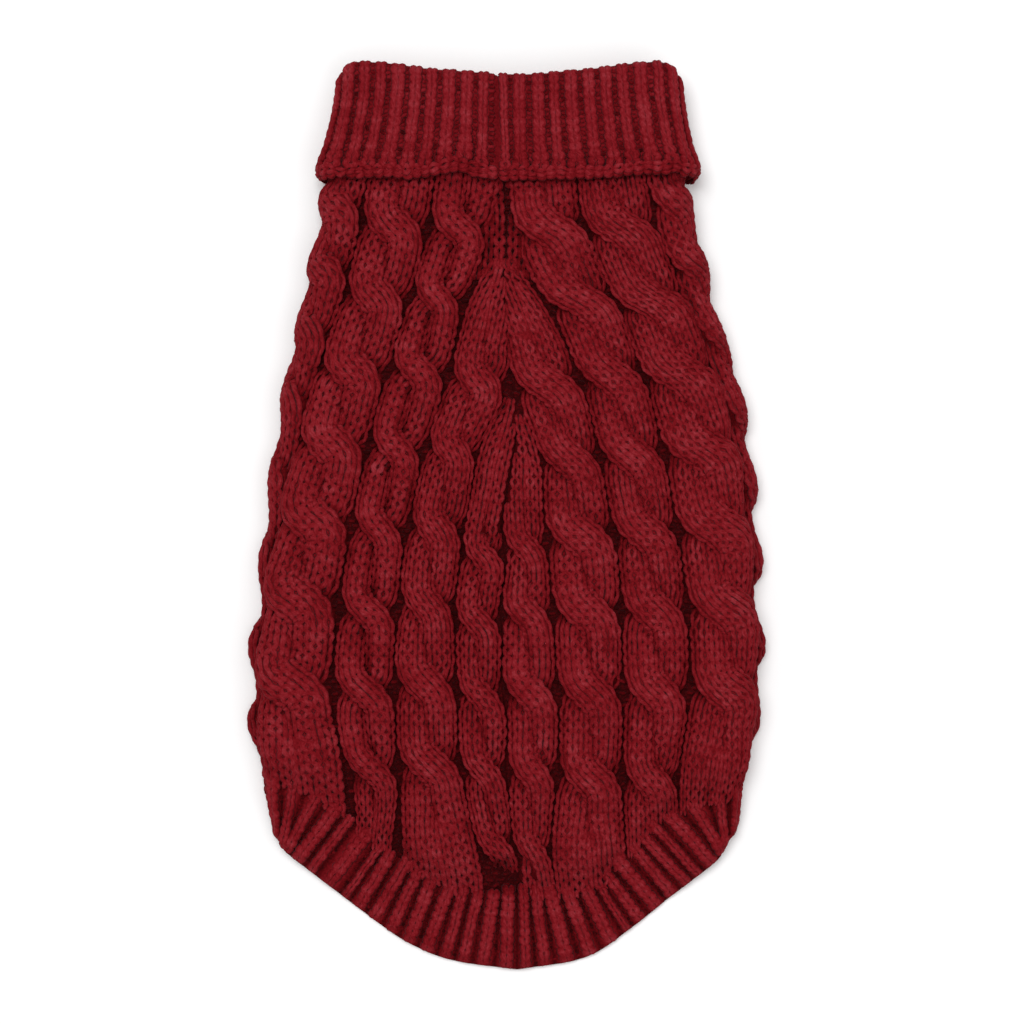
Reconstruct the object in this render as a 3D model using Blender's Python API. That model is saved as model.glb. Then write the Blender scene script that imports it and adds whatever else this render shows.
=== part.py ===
"""Dog sweater: a knitted turtleneck for a small dog, lying flat on its belly.

Frame: +Y towards the neck, +X to the sweater's right as seen from above, +Z up.
The origin is on the supporting surface, under the middle of the garment.
The cloth is one flattened tube. A point of it is named by (u, y): y is the
distance along the garment, and u is the distance round it, measured from the
Y axis over the top layer, round the side fold and back under the belly.
All sizes below are in millimetres.
"""
import math

import bmesh
import bpy
import numpy as np

for old in list(bpy.data.objects):
    bpy.data.objects.remove(old, do_unlink=True)

MM = 0.001
WALL = 3.2            # thickness of the knitted cloth between its cables
HALF = WALL / 2
SEAM = 0.3            # gap left along each seam
CABLE = 3.2           # how far a cable column stands above the cloth
COVER = HALF + CABLE  # from the middle of the wall to the crown of a cable
NECK_Y = 122.5        # seam between body and collar, hidden under the flap
TURN_GAP = 0.5        # air between the collar's stand and its turned-down flap
WRAP = 4.0            # how far the back panels reach under the belly
BODY_STATIONS = 20
LEG_X, LEG_Y = 33.0, 62.0     # centre of a leg opening
LEG_R, LEG_BAND = 17.5, 7.5   # radius of a leg opening and width of its rib band

# One row for each section across the tube: outline on the left and right,
# height of the middle of the top wall at the side folds, extra height at the
# middle of the top layer, and height of the middle of the lower wall.
SECTION_COLUMNS = ("y", "left", "right", "top", "crown", "under")
SECTIONS = (
    (160.0, -60.0, 61.5, 15.4, 0.0, 5.3),
    (147.0, -60.8, 62.0, 15.4, 0.0, 5.3),
    (130.0, -64.5, 65.0, 15.4, 0.0, 5.3),
    (120.0, -66.7, 67.3, 15.3, 0.0, 5.3),
    (114.0, -64.4, 64.6, 15.0, 0.2, 5.2),
    (106.0, -65.0, 64.6, 13.6, 0.8, 3.2),
    (94.0, -67.3, 68.5, 13.4, 1.4, 1.6),
    (80.0, -70.6, 72.0, 13.4, 1.5, 1.6),
    (66.0, -73.2, 74.6, 13.4, 1.5, 1.6),
    (52.0, -76.6, 79.4, 13.4, 1.5, 1.6),
    (38.0, -79.0, 83.0, 13.4, 1.5, 1.6),
    (24.0, -81.0, 85.2, 13.4, 1.5, 1.6),
    (10.0, -83.6, 87.0, 13.4, 1.5, 1.6),
    (-4.0, -84.6, 87.6, 13.4, 1.5, 1.6),
    (-18.0, -86.6, 88.8, 13.4, 1.5, 1.6),
    (-32.0, -87.4, 88.8, 13.4, 1.5, 1.6),
    (-46.0, -89.4, 90.0, 13.4, 1.5, 1.6),
    (-60.0, -89.0, 88.8, 13.2, 1.4, 1.6),
    (-72.0, -90.0, 87.6, 12.6, 1.1, 1.6),
    (-84.0, -87.6, 86.0, 11.2, 0.8, 1.6),
    (-96.0, -87.8, 85.6, 9.3, 0.6, 1.6),
    (-108.0, -85.1, 83.7, 7.3, 0.4, 1.6),
    (-116.0, -84.0, 81.8, 6.0, 0.2, 1.6),
    (-126.0, -83.0, 81.0, 3.6, 0.0, 1.6),
    (-136.0, -83.0, 81.0, 1.7, 0.0, 1.6),
    (-160.0, -83.0, 81.0, 1.7, 0.0, 1.6),
)

# One row for each 14 mm along the body: where the gutters between the cable
# columns lie. "seam" is the centre-back seam, where new columns begin.
GUTTER_COLUMNS = ("y", "l12", "l23", "l34", "l45", "seam", "r45", "r34", "r23", "r12")
GUTTERS = (
    (125.0, -48.0, -24.2, -4.0, -2.5, -0.5, 1.5, 3.0, 24.6, 47.0),
    (115.5, -48.5, -24.3, -4.0, -2.5, -0.5, 1.5, 3.0, 24.7, 47.8),
    (101.5, -50.2, -26.4, -4.2, -2.3, 0.0, 1.5, 3.0, 25.4, 51.3),
    (87.5, -53.0, -30.3, -6.8, -2.0, 0.0, 1.8, 4.4, 31.7, 56.9),
    (73.5, -57.9, -33.8, -14.5, -3.0, -1.2, 0.8, 14.5, 38.7, 63.2),
    (59.5, -61.8, -38.0, -17.0, -1.4, 0.5, 2.4, 19.4, 43.2, 69.8),
    (45.5, -68.1, -42.9, -20.1, 0.6, 3.0, 5.2, 25.7, 48.8, 74.7),
    (31.5, -70.9, -46.7, -25.4, -4.7, 4.0, 7.5, 29.6, 52.0, 79.6),
    (17.5, -76.5, -49.9, -29.2, -10.7, 2.3, 11.4, 32.7, 55.5, 82.8),
    (3.5, -77.9, -52.3, -33.1, -12.4, -0.5, 12.1, 34.8, 57.9, 84.9),
    (-10.5, -82.4, -55.5, -35.9, -16.3, -1.9, 14.2, 38.0, 60.4, 85.6),
    (-24.5, -83.1, -57.2, -36.9, -17.3, -0.9, 14.5, 39.4, 61.4, 87.3),
    (-38.5, -85.6, -58.6, -37.3, -19.1, -1.9, 15.9, 40.1, 63.2, 89.0),
    (-52.5, -87.0, -59.3, -38.7, -17.0, -1.9, 16.6, 40.1, 63.2, 90.0),
    (-66.5, -88.4, -59.7, -38.0, -16.6, 1.0, 18.0, 39.7, 63.5, 89.5),
    (-80.5, -89.0, -57.9, -38.0, -17.0, 0.2, 17.7, 40.1, 61.4, 88.5),
    (-94.5, -87.0, -56.2, -36.6, -15.9, 0.5, 17.7, 40.4, 59.7, 86.0),
    (-108.5, -85.0, -54.1, -36.6, -13.1, 1.2, 15.9, 40.4, 60.5, 84.0),
    (-122.5, -84.0, -52.0, -34.5, -7.9, 3.5, 15.2, 42.2, 61.5, 82.0),
    (-136.5, -83.0, -50.0, -33.0, -4.5, 4.0, 13.0, 43.0, 62.0, 80.0),
)

# One row for each station round the hem, from the centre-back seam to the
# middle of the belly: "zone" is top (at is X), fold (at is the share of the
# fold) or under (at is X). Each side of the sweater has its own rows.
HEM_COLUMNS = ("zone", "join_at", "join_y", "edge_at", "edge_y")
HEM_LEFT = (
    ("top", 3.7, -132.3, 3.7, -158.6),
    ("top", -12.8, -131.2, -16.6, -156.3),
    ("top", -25.7, -127.7, -31.0, -151.2),
    ("top", -35.5, -121.5, -43.6, -143.9),
    ("top", -47.8, -112.3, -55.8, -134.8),
    ("top", -60.0, -102.5, -66.6, -126.2),
    ("top", -71.0, -95.5, -74.4, -120.6),
    ("fold", 0.20, -93.0, 0.20, -117.6),
    ("fold", 0.50, -91.0, 0.50, -114.6),
    ("fold", 0.80, -89.5, 0.80, -112.6),
    ("under", -68.0, -85.5, -69.0, -109.0),
    ("under", -54.0, -77.5, -54.0, -101.5),
    ("under", -36.0, -68.5, -36.0, -94.0),
    ("under", -17.0, -63.5, -17.0, -89.5),
    ("under", 0.0, -62.3, 0.0, -88.3),
)
HEM_RIGHT = (
    ("top", 3.7, -132.3, 3.7, -158.6),
    ("top", 20.0, -131.5, 25.5, -155.6),
    ("top", 32.0, -127.0, 40.8, -146.6),
    ("top", 42.5, -118.0, 52.0, -138.5),
    ("top", 51.0, -108.5, 60.5, -131.0),
    ("top", 61.0, -101.5, 66.6, -126.0),
    ("top", 70.0, -97.5, 73.0, -121.0),
    ("fold", 0.20, -95.5, 0.20, -117.2),
    ("fold", 0.50, -93.5, 0.50, -114.0),
    ("fold", 0.80, -91.5, 0.80, -112.0),
    ("under", 66.0, -86.5, 67.0, -108.5),
    ("under", 52.0, -77.5, 52.0, -101.0),
    ("under", 35.0, -68.5, 35.0, -93.7),
    ("under", 16.0, -63.5, 16.0, -89.3),
    ("under", 0.0, -62.3, 0.0, -88.3),
)

# One row for each point round the collar, on both sides alike: where it folds
# over at the top and where its turned-down flap ends.
COLLAR_COLUMNS = ("zone", "at", "fold_y", "flap_y")
COLLAR = (
    ("top", 0.0, 154.0, 116.6),
    ("top", 14.0, 154.4, 117.6),
    ("top", 28.0, 156.4, 117.4),
    ("top", 42.0, 158.2, 117.6),
    ("fold", 0.0, 159.2, 117.6),
    ("fold", 0.25, 157.6, 116.4),
    ("fold", 0.50, 153.6, 115.8),
    ("fold", 0.75, 157.2, 116.4),
    ("fold", 1.0, 158.8, 117.2),
    ("under", 42.0, 157.6, 117.2),
    ("under", 28.0, 156.0, 117.2),
    ("under", 0.0, 154.0, 117.2),
)


def table(rows, names):
    return {name: np.array([row[i] for row in rows]) for i, name in enumerate(names)}


def smooth(at, xs, ys):
    """A smooth curve through the points (xs, ys), read at the places in at."""
    at, xs, ys = np.asarray(at, float), np.asarray(xs, float), np.asarray(ys, float)
    if xs[0] > xs[-1]:
        xs, ys = xs[::-1], ys[::-1]
    step = np.diff(xs)
    rise = np.diff(ys) / step
    slope = np.empty_like(ys)
    slope[0], slope[-1] = rise[0], rise[-1]
    slope[1:-1] = (rise[:-1] * step[1:] + rise[1:] * step[:-1]) / (step[1:] + step[:-1])
    i = np.clip(np.searchsorted(xs, at) - 1, 0, len(xs) - 2)
    t = np.clip((at - xs[i]) / step[i], 0.0, 1.0)
    h = step[i]
    return (
        ys[i] * (2 * t**3 - 3 * t**2 + 1)
        + slope[i] * h * (t**3 - 2 * t**2 + t)
        + ys[i + 1] * (3 * t**2 - 2 * t**3)
        + slope[i + 1] * h * (t**3 - t**2)
    )


SEC = table(SECTIONS, SECTION_COLUMNS)
GUT = table(GUTTERS, GUTTER_COLUMNS)


def section(y):
    """Left and right start of the side folds, fold radius, crown and lower wall."""
    top = smooth(y, SEC["y"], SEC["top"])
    under = np.maximum(smooth(y, SEC["y"], SEC["under"]), HALF)
    radius = np.maximum((top - under) / 2, 0.05)
    left = smooth(y, SEC["y"], SEC["left"]) + radius + COVER
    right = smooth(y, SEC["y"], SEC["right"]) - radius - COVER
    return left, right, radius, smooth(y, SEC["y"], SEC["crown"]), under


def middle(u, y):
    """The middle of the wall at (u, y)."""
    u, y = np.broadcast_arrays(np.asarray(u, float), np.asarray(y, float))
    left, right, radius, crown, under = section(y)
    side = np.where(u < 0, -1.0, 1.0)
    start = np.where(u < 0, -left, right)
    past = np.abs(u) - start
    angle = np.clip(past / radius, 0.0, math.pi)
    beyond = np.maximum(past - math.pi * radius, 0.0)
    flat = np.minimum(np.abs(u), start)
    x = side * (flat + radius * np.sin(angle) - beyond)
    share = np.clip(np.abs(u) / start, 0.0, 1.0)
    z = under + radius + radius * np.cos(angle) + crown * (1 - share**2) ** 2
    return np.stack([x, y, z], -1)


def outward(u, y):
    """The cloth's outward normal at (u, y), in the plane of its section."""
    e = 0.05
    du = middle(u + e, y) - middle(u - e, y)
    n = np.stack([-du[..., 2], np.zeros_like(du[..., 0]), du[..., 0]], -1)
    return n / np.linalg.norm(n, axis=-1, keepdims=True)


def fold_angle(u, y):
    left, right, radius, _, _ = section(y)
    return np.clip((np.abs(u) - np.where(u < 0, -left, right)) / radius, 0, math.pi)


def around(zone, at, y, side):
    """u of a place named by its zone: X on the top, a share of the fold, or X below."""
    left, right, radius, _, _ = section(y)
    start = -left if side < 0 else right
    if zone == "top":
        return at
    if zone == "fold":
        return side * (start + at * math.pi * radius)
    return side * (start + math.pi * radius + (start - abs(at)))


def gutter(name, y):
    return smooth(y, GUT["y"], GUT[name])


def panel_end(y, side):
    """u of the seam between a back panel and the belly."""
    left, right, radius, _, _ = section(y)
    start = -left if side < 0 else right
    return side * (start + math.pi * radius + WRAP)


def station(i):
    """The share of a panel's length at its i-th row; rows are closer at the neck."""
    return (i / (BODY_STATIONS - 1)) ** 1.15


def ease(t):
    t = np.clip(t, 0.0, 1.0)
    return t * t * (3 - 2 * t)


def add_object(name, points, faces, colour, smooth_angle=50):
    mesh = bpy.data.meshes.new(name)
    mesh.from_pydata([tuple(p) for p in np.asarray(points, float) * MM], [], faces)
    bm = bmesh.new()
    bm.from_mesh(mesh)
    bmesh.ops.recalc_face_normals(bm, faces=bm.faces)
    bm.to_mesh(mesh)
    bm.free()
    mesh.shade_smooth()
    mesh.set_sharp_from_angle(angle=math.radians(smooth_angle))
    material = bpy.data.materials.new(name + "_wool")
    material.use_nodes = True
    shader = material.node_tree.nodes["Principled BSDF"]
    shader.inputs["Base Color"].default_value = (*colour, 1.0)
    shader.inputs["Roughness"].default_value = 0.9
    shader.inputs["Metallic"].default_value = 0.0
    mesh.materials.append(material)
    obj = bpy.data.objects.new(name, mesh)
    bpy.context.scene.collection.objects.link(obj)
    return obj


def wall(name, outer, inner, colour, closed=False):
    """A closed wall between two grids of points of the same size. closed joins the
    last column to the first, so that the wall is a ring."""
    rows, cols = outer.shape[:2]
    points = np.concatenate([outer.reshape(-1, 3), inner.reshape(-1, 3)])
    shift, faces = rows * cols, []
    spans = cols if closed else cols - 1
    for i in range(rows - 1):
        for j in range(spans):
            k = (j + 1) % cols
            a, b, c, d = i * cols + j, i * cols + k, (i + 1) * cols + k, (i + 1) * cols + j
            faces.append((a, b, c, d))
            faces.append((shift + d, shift + c, shift + b, shift + a))
    for j in range(spans):
        k = (j + 1) % cols
        faces.append((j, shift + j, shift + k, k))
        e = (rows - 1) * cols
        faces.append((e + j, e + k, shift + e + k, shift + e + j))
    if not closed:
        for i in range(rows - 1):
            a, b = i * cols, (i + 1) * cols
            faces.append((a, b, shift + b, shift + a))
            a, b = i * cols + cols - 1, (i + 1) * cols + cols - 1
            faces.append((a, shift + a, shift + b, b))
    return add_object(name, points, faces, colour)


WOOL = (0.235, 0.014, 0.022)


# Hem: the two sides' rows made into one ring of stations --------------------
def hem_side(rows, side):
    """(join u, join y, edge u, edge y) at stations from the seam to the belly."""
    h = table(rows, HEM_COLUMNS)
    join = np.array([around(z, a, y, side) for z, a, y in zip(h["zone"], h["join_at"], h["join_y"])])
    edge = np.array([around(z, a, y, side) for z, a, y in zip(h["zone"], h["edge_at"], h["edge_y"])])
    return join, h["join_y"], edge, h["edge_y"]


def hem_curve(rows, side, count):
    join, join_y, edge, edge_y = hem_side(rows, side)
    t = np.arange(len(join), dtype=float)
    at = np.linspace(0, len(join) - 1, count)
    return tuple(smooth(at, t, v) for v in (join, join_y, edge, edge_y))


def join_y_at(u, side):
    """Where a body panel's line at u meets the hem."""
    join, join_y, _, _ = hem_side(HEM_LEFT if side < 0 else HEM_RIGHT, side)
    if side < 0:
        return smooth(-np.asarray(u), -join, join_y)
    return smooth(u, join, join_y)


# Back panels ------------------------------------------------------------------
ACROSS = (0.0, 0.2, 0.5, 0.8)    # places across a cable column
RISE = (0.0, 0.86, 1.0, 0.86)    # height of the column there, as a share
LAST = 7                         # places from the outermost gutter to the belly seam


def back_panel(name, side):
    names = ("seam", "l45", "l34", "l23", "l12") if side < 0 else ("seam", "r45", "r34", "r23", "r12")
    lines = []     # each line is (function of y giving u, height share)
    for k in range(4):
        for share, rise in zip(ACROSS, RISE):
            lines.append((names[k], names[k + 1], share, rise))
    for k in range(LAST):
        share = k / (LAST - 1)
        lines.append((names[4], None, share, max(0.0, math.sin(math.pi * share / 0.8)) ** 0.5 if share < 0.8 else 0.0))

    def place(line, y):
        a = gutter(line[0], y)
        b = panel_end(y, side) if line[1] is None else gutter(line[1], y)
        if line[1] is None and line[2] == 1.0:
            b = b - side * SEAM / 2
        a = a + (side * SEAM / 2 if line[0] == "seam" else 0.0)
        return a + (b - a) * line[2], abs(b - a)

    rows = BODY_STATIONS
    outer, inner = np.zeros((rows, len(lines), 3)), np.zeros((rows, len(lines), 3))
    for j, line in enumerate(lines):
        end = -100.0
        for _ in range(12):
            end = float(join_y_at(place(line, end)[0], side))
        for i in range(rows):
            v = station(i)
            y = (NECK_Y - SEAM / 2) + (end + 2 * SEAM - NECK_Y) * v
            u, width = place(line, y)
            n = outward(u, y)
            m = middle(u, y)
            rise = line[3] * CABLE
            if line[1] is not None:
                rise *= float(ease((width - 3.0) / 9.0))
            rise *= float(ease((114.5 - y) / 6.0))                         # flat under the flap
            rise *= 1.0 - 0.65 * float(ease((v - 0.93) / 0.07))           # dies out at the hem
            rise *= 1.0 - float(ease((fold_angle(u, y) - 1.5) / 1.2))     # pressed flat below
            outer[i, j] = m + n * (HALF + rise)
            inner[i, j] = m - n * HALF
    return wall(name, outer, inner, WOOL)


back_panel("back_left", -1)
back_panel("back_right", 1)


# Belly panel with its leg openings -------------------------------------------
def leg_cutter(name, x):
    bm = bmesh.new()
    bmesh.ops.create_cone(bm, cap_ends=True, segments=40, radius1=(LEG_R + LEG_BAND + SEAM) * MM,
                          radius2=(LEG_R + LEG_BAND + SEAM) * MM, depth=30 * MM)
    mesh = bpy.data.meshes.new(name)
    bm.to_mesh(mesh)
    bm.free()
    obj = bpy.data.objects.new(name, mesh)
    obj.location = (x * MM, LEG_Y * MM, 5 * MM)
    obj.hide_render = True
    obj.display_type = "WIRE"
    bpy.context.scene.collection.objects.link(obj)
    return obj


def belly_panel():
    rows, cols = BODY_STATIONS, 15
    outer, inner = np.zeros((rows, cols, 3)), np.zeros((rows, cols, 3))
    for j in range(cols):
        f = j / (cols - 1)                      # 0 at the left seam, 1 at the right
        side = -1 if f < 0.5 else 1
        share = abs(2 * f - 1)

        def place(y):
            left, right, radius, _, _ = section(y)
            start = -left if side < 0 else right
            x = share * (start - WRAP - SEAM / 2)
            return side * (start + math.pi * radius + (start - x)), side * x

        end = -70.0
        for _ in range(12):
            end = float(join_y_at(place(end)[0], side))
        for i in range(rows):
            y = (NECK_Y - SEAM / 2) + (end + 2 * SEAM - NECK_Y) * station(i)
            u, x = place(y)
            under = float(section(y)[4])
            e = 0.5
            slope = (float(section(y + e)[4]) - float(section(y - e)[4])) / (2 * e)
            n = np.array([0.0, slope, -1.0]) / math.hypot(slope, 1.0)
            m = np.array([x, y, under])
            outer[i, j], inner[i, j] = m + n * HALF, m - n * HALF
    obj = wall("belly", outer, inner, WOOL)
    for tag, x in (("leg_cut_left", -LEG_X), ("leg_cut_right", LEG_X)):
        cut = obj.modifiers.new(tag, "BOOLEAN")
        cut.operation = "DIFFERENCE"
        cut.object = leg_cutter(tag, x)
    return obj


belly_panel()


def leg_band(name, x):
    """A flat ribbed ring sewn into a leg opening, with softly rounded edges."""
    profile = ((LEG_R + 0.9, 0.0), (LEG_R + LEG_BAND, 0.0), (LEG_R + LEG_BAND, WALL),
               (LEG_R + 0.9, WALL), (LEG_R, WALL - 0.9), (LEG_R, 0.9))
    turns = 32
    points, faces = [], []
    for i in range(turns):
        a = 2 * math.pi * i / turns
        points += [(x + r * math.cos(a), LEG_Y + r * math.sin(a), z) for r, z in profile]
    n = len(profile)
    for i in range(turns):
        for k in range(n):
            a, b = i * n, ((i + 1) % turns) * n
            faces.append((a + k, a + (k + 1) % n, b + (k + 1) % n, b + k))
    return add_object(name, points, faces, WOOL)


leg_band("leg_band_left", -LEG_X)
leg_band("leg_band_right", LEG_X)


# Collar: a tube that rises from the neck seam, folds over and comes down ------
def collar():
    c = table(COLLAR, COLLAR_COLUMNS)
    stations = []                              # (side, zone, at, fold_y, flap_y)
    t = np.arange(len(c["at"]), dtype=float)
    fold = lambda s: float(smooth(s, t, c["fold_y"]))
    flap = lambda s: float(smooth(s, t, c["flap_y"]))
    top_x = [0.0, 7.0, 14.0, 21.0, 28.0, 35.0, 42.0, 48.0]
    turn = [0.0, 0.12, 0.25, 0.37, 0.5, 0.63, 0.75, 0.88, 1.0]
    under_x = [46.0, 35.0, 23.0, 11.0, 0.0]
    half = []
    for x in top_x:
        half.append(("top", x, min(x / 14.0, 3.0 + (x - 42.0) / 14.0 if x > 42 else 9)))
    for f in turn:
        half.append(("fold", f, 4.0 + 4.0 * f))
    for x in under_x:
        s = 8.0 + (50.0 - x) / 8.0 if x >= 42 else (9.0 + (42.0 - x) / 14.0 if x >= 28 else 10.0 + (28.0 - x) / 28.0)
        half.append(("under", x, s))
    ring = [(1, *h) for h in half] + [(-1, *h) for h in half[-2:0:-1]]
    n_in, n_out = HALF, HALF + TURN_GAP + WALL     # outsides of stand and flap
    arc = 5
    loops = []
    for side, zone, at, s in ring:
        fold_y, flap_y = fold(s), flap(s)
        big = (WALL * 2 + TURN_GAP) / 2
        centre = -HALF + big
        turn_y = fold_y - big
        rows = [NECK_Y + SEAM / 2, 127.0, 136.0, 145.0, turn_y]
        down = rows[::-1] + [0.5 * (NECK_Y + flap_y), flap_y]
        profile = [(-HALF, y) for y in rows]
        for k in range(1, arc + 1):
            a = math.pi * (1 - k / (arc + 1))
            profile.append((centre + big * math.cos(a), turn_y + big * math.sin(a)))
        profile += [(n_out, y) for y in down]
        profile += [(n_out - WALL, y) for y in down[::-1]]
        profile.append((HALF + TURN_GAP / 2, turn_y + TURN_GAP / 2))
        profile += [(n_in, y) for y in rows[::-1]]
        loop = []
        for n, y in profile:
            yy = max(y, NECK_Y) if n <= n_in else y
            u = around(zone, side * at if zone != "fold" else at, yy, side)
            loop.append(middle(u, yy) + outward(u, yy) * n)
        loops.append(loop)
    n = len(loops[0])
    points = [p for loop in loops for p in loop]
    faces = []
    for i in range(len(loops)):
        a, b = i * n, ((i + 1) % len(loops)) * n
        for k in range(n):
            faces.append((a + k, a + (k + 1) % n, b + (k + 1) % n, b + k))
    return add_object("collar", points, faces, WOOL)


collar()


# Hem: a ribbed band sewn round the lower edge, longest at the tail -------------
def hem():
    count = 29
    left, right = hem_curve(HEM_LEFT, -1, count), hem_curve(HEM_RIGHT, 1, count)
    ring = [(1, *[v[i] for v in right]) for i in range(count)]
    ring += [(-1, *[v[i] for v in left]) for i in range(count - 2, 0, -1)]
    rows = 5
    outer, inner = np.zeros((rows, len(ring), 3)), np.zeros((rows, len(ring), 3))
    for j, (side, ju, jy, eu, ey) in enumerate(ring):
        length = math.hypot(eu - ju, ey - jy)
        for i in range(rows):
            f = (SEAM / length) + (1 - SEAM / length) * i / (rows - 1)
            u, y = ju + (eu - ju) * f, jy + (ey - jy) * f
            m, n = middle(u, y), outward(u, y)
            half = HALF - (0.9 if i == rows - 1 else 0.0)
            outer[i, j], inner[i, j] = m + n * half, m - n * half
    return wall("hem", outer, inner, WOOL, closed=True)


hem()
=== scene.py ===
"""The look of a cable-knit dog sweater that lies flat on its belly.

Each sewn piece is a thin cloth shell with its yarn on it: every stitch is a
pair of yarn legs, and each cable is two strands of stitches wound round each
other. Lengths are in millimetres unless a name says otherwise. The cables'
tables give places on a plan grid whose squares are GRID millimetres wide and
whose rows run down from the collar; px and py turn them into X and Y.

A place on the flattened tube is (p, y, h): p is the distance round the
garment from the Y axis over the top layer, measured ref above the middle of
the wall, y is the distance along it, and h the height above that middle.
"""
import math

import bpy
import numpy as np
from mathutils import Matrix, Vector


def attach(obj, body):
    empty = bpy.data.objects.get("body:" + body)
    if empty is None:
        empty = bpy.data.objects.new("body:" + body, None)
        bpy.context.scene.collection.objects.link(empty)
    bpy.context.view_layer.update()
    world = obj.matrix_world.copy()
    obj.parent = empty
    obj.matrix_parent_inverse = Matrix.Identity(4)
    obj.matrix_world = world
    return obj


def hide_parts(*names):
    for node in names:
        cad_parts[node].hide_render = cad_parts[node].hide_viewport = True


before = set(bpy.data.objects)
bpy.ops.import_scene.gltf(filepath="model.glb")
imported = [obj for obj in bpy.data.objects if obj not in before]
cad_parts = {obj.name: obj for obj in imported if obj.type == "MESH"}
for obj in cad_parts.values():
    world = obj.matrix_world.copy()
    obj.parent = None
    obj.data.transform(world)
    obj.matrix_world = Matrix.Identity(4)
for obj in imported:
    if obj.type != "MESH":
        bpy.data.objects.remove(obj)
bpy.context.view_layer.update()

MM = 0.001
GRID = 0.35
WALL = 3.2
HALF = WALL / 2
COVER = HALF + 3.2
NECK_Y = 122.5
WRAP = 4.0
LEG_X, LEG_Y = 33.0, 62.0
LEG_R, LEG_BAND = 17.5, 7.5

REF = 3.4            # height above the wall at which the body's distances hold
COLLAR_REF = 4.2     # the same for the collar's turned-down flap
HEM_REF = 1.2        # and for the hem
YARN = 0.9           # half the height of a yarn leg

WALE = 3.6           # width of one column of stitches on the body
COURSE = 3.85        # height of one row of stitches on the body
RIB_WALE = 4.4       # width of the knit column of a rib
RIB_COURSE = 2.95    # height of one row of stitches in the ribs

rng = np.random.default_rng(7)


def px(x):
    return (np.asarray(x, float) - 506.5) * GRID


def py(y):
    return (515.0 - np.asarray(y, float)) * GRID


# ---------------------------------------------------------------- the form
SECTIONS = (
    # y, left, right, top, crown, under
    (160.0, -59.4, 61.0, 15.4, 0.0, 5.3),
    (147.0, -59.8, 61.8, 15.4, 0.0, 5.3),
    (130.0, -63.4, 64.9, 15.4, 0.0, 5.3),
    (120.0, -66.2, 67.1, 15.3, 0.0, 5.3),
    (114.0, -64.4, 64.4, 15.0, 0.2, 5.2),
    (106.0, -65.0, 63.8, 13.6, 0.8, 3.2),
    (94.0, -67.0, 67.8, 13.4, 1.4, 1.6),
    (80.0, -70.2, 69.9, 13.4, 1.5, 1.6),
    (66.0, -72.0, 73.4, 13.4, 1.5, 1.6),
    (52.0, -75.6, 78.6, 13.4, 1.5, 1.6),
    (38.0, -77.4, 82.0, 13.4, 1.5, 1.6),
    (24.0, -80.0, 84.3, 13.4, 1.5, 1.6),
    (10.0, -81.9, 86.4, 13.4, 1.5, 1.6),
    (-4.0, -84.0, 87.3, 13.4, 1.5, 1.6),
    (-18.0, -85.7, 88.8, 13.4, 1.5, 1.6),
    (-32.0, -87.0, 88.0, 13.4, 1.5, 1.6),
    (-46.0, -89.2, 90.0, 13.4, 1.5, 1.6),
    (-60.0, -89.0, 89.0, 13.2, 1.4, 1.6),
    (-72.0, -90.0, 88.2, 12.6, 1.1, 1.6),
    (-84.0, -88.4, 87.0, 11.2, 0.8, 1.6),
    (-96.0, -88.2, 85.8, 9.3, 0.6, 1.6),
    (-108.0, -85.1, 83.7, 7.3, 0.4, 1.6),
    (-116.0, -84.0, 81.8, 6.0, 0.2, 1.6),
    (-126.0, -83.0, 81.0, 3.6, 0.0, 1.6),
    (-136.0, -83.0, 81.0, 1.7, 0.0, 1.6),
    (-160.0, -83.0, 81.0, 1.7, 0.0, 1.6),
)
SEC = np.array(SECTIONS)[::-1].T          # rows: y, left, right, top, crown, under


def smooth(at, xs, ys):
    """A smooth curve through the points (xs, ys), xs rising, read at the places in at."""
    at, xs, ys = (np.asarray(v, float) for v in (at, xs, ys))
    step = np.diff(xs)
    rise = np.diff(ys) / step
    slope = np.empty(len(ys))
    slope[0], slope[-1] = rise[0], rise[-1]
    slope[1:-1] = (rise[:-1] * step[1:] + rise[1:] * step[:-1]) / (step[1:] + step[:-1])
    i = np.clip(np.searchsorted(xs, at) - 1, 0, len(xs) - 2)
    t = np.clip((at - xs[i]) / step[i], 0.0, 1.0)
    h = step[i]
    return (
        ys[i] * (2 * t**3 - 3 * t**2 + 1)
        + slope[i] * h * (t**3 - 2 * t**2 + t)
        + ys[i + 1] * (3 * t**2 - 2 * t**3)
        + slope[i + 1] * h * (t**3 - t**2)
    )


FINE_Y = np.arange(-170.0, 170.01, 0.5)
FINE_SEC = [smooth(FINE_Y, SEC[0], SEC[k]) for k in range(1, 6)]
FINE_SEC[4] = np.maximum(FINE_SEC[4], HALF)


def section(y):
    """Left and right start of the side folds, fold radius, crown and lower wall."""
    left, right, top, crown, under = (np.interp(y, FINE_Y, v) for v in FINE_SEC)
    radius = np.maximum((top - under) / 2, 0.05)
    return left + radius + COVER, right - radius - COVER, radius, crown, under


def fold_start(side, y):
    left, right, radius, crown, under = section(y)
    return np.where(np.asarray(side) < 0, -left, right)


def ease(t):
    t = np.clip(t, 0.0, 1.0)
    return t * t * (3 - 2 * t)


def fold_angle(p, y, ref=REF):
    _, _, radius, _, _ = section(y)
    return np.clip((np.abs(p) - fold_start(p, y)) / (radius + ref), 0, math.pi)


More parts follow.
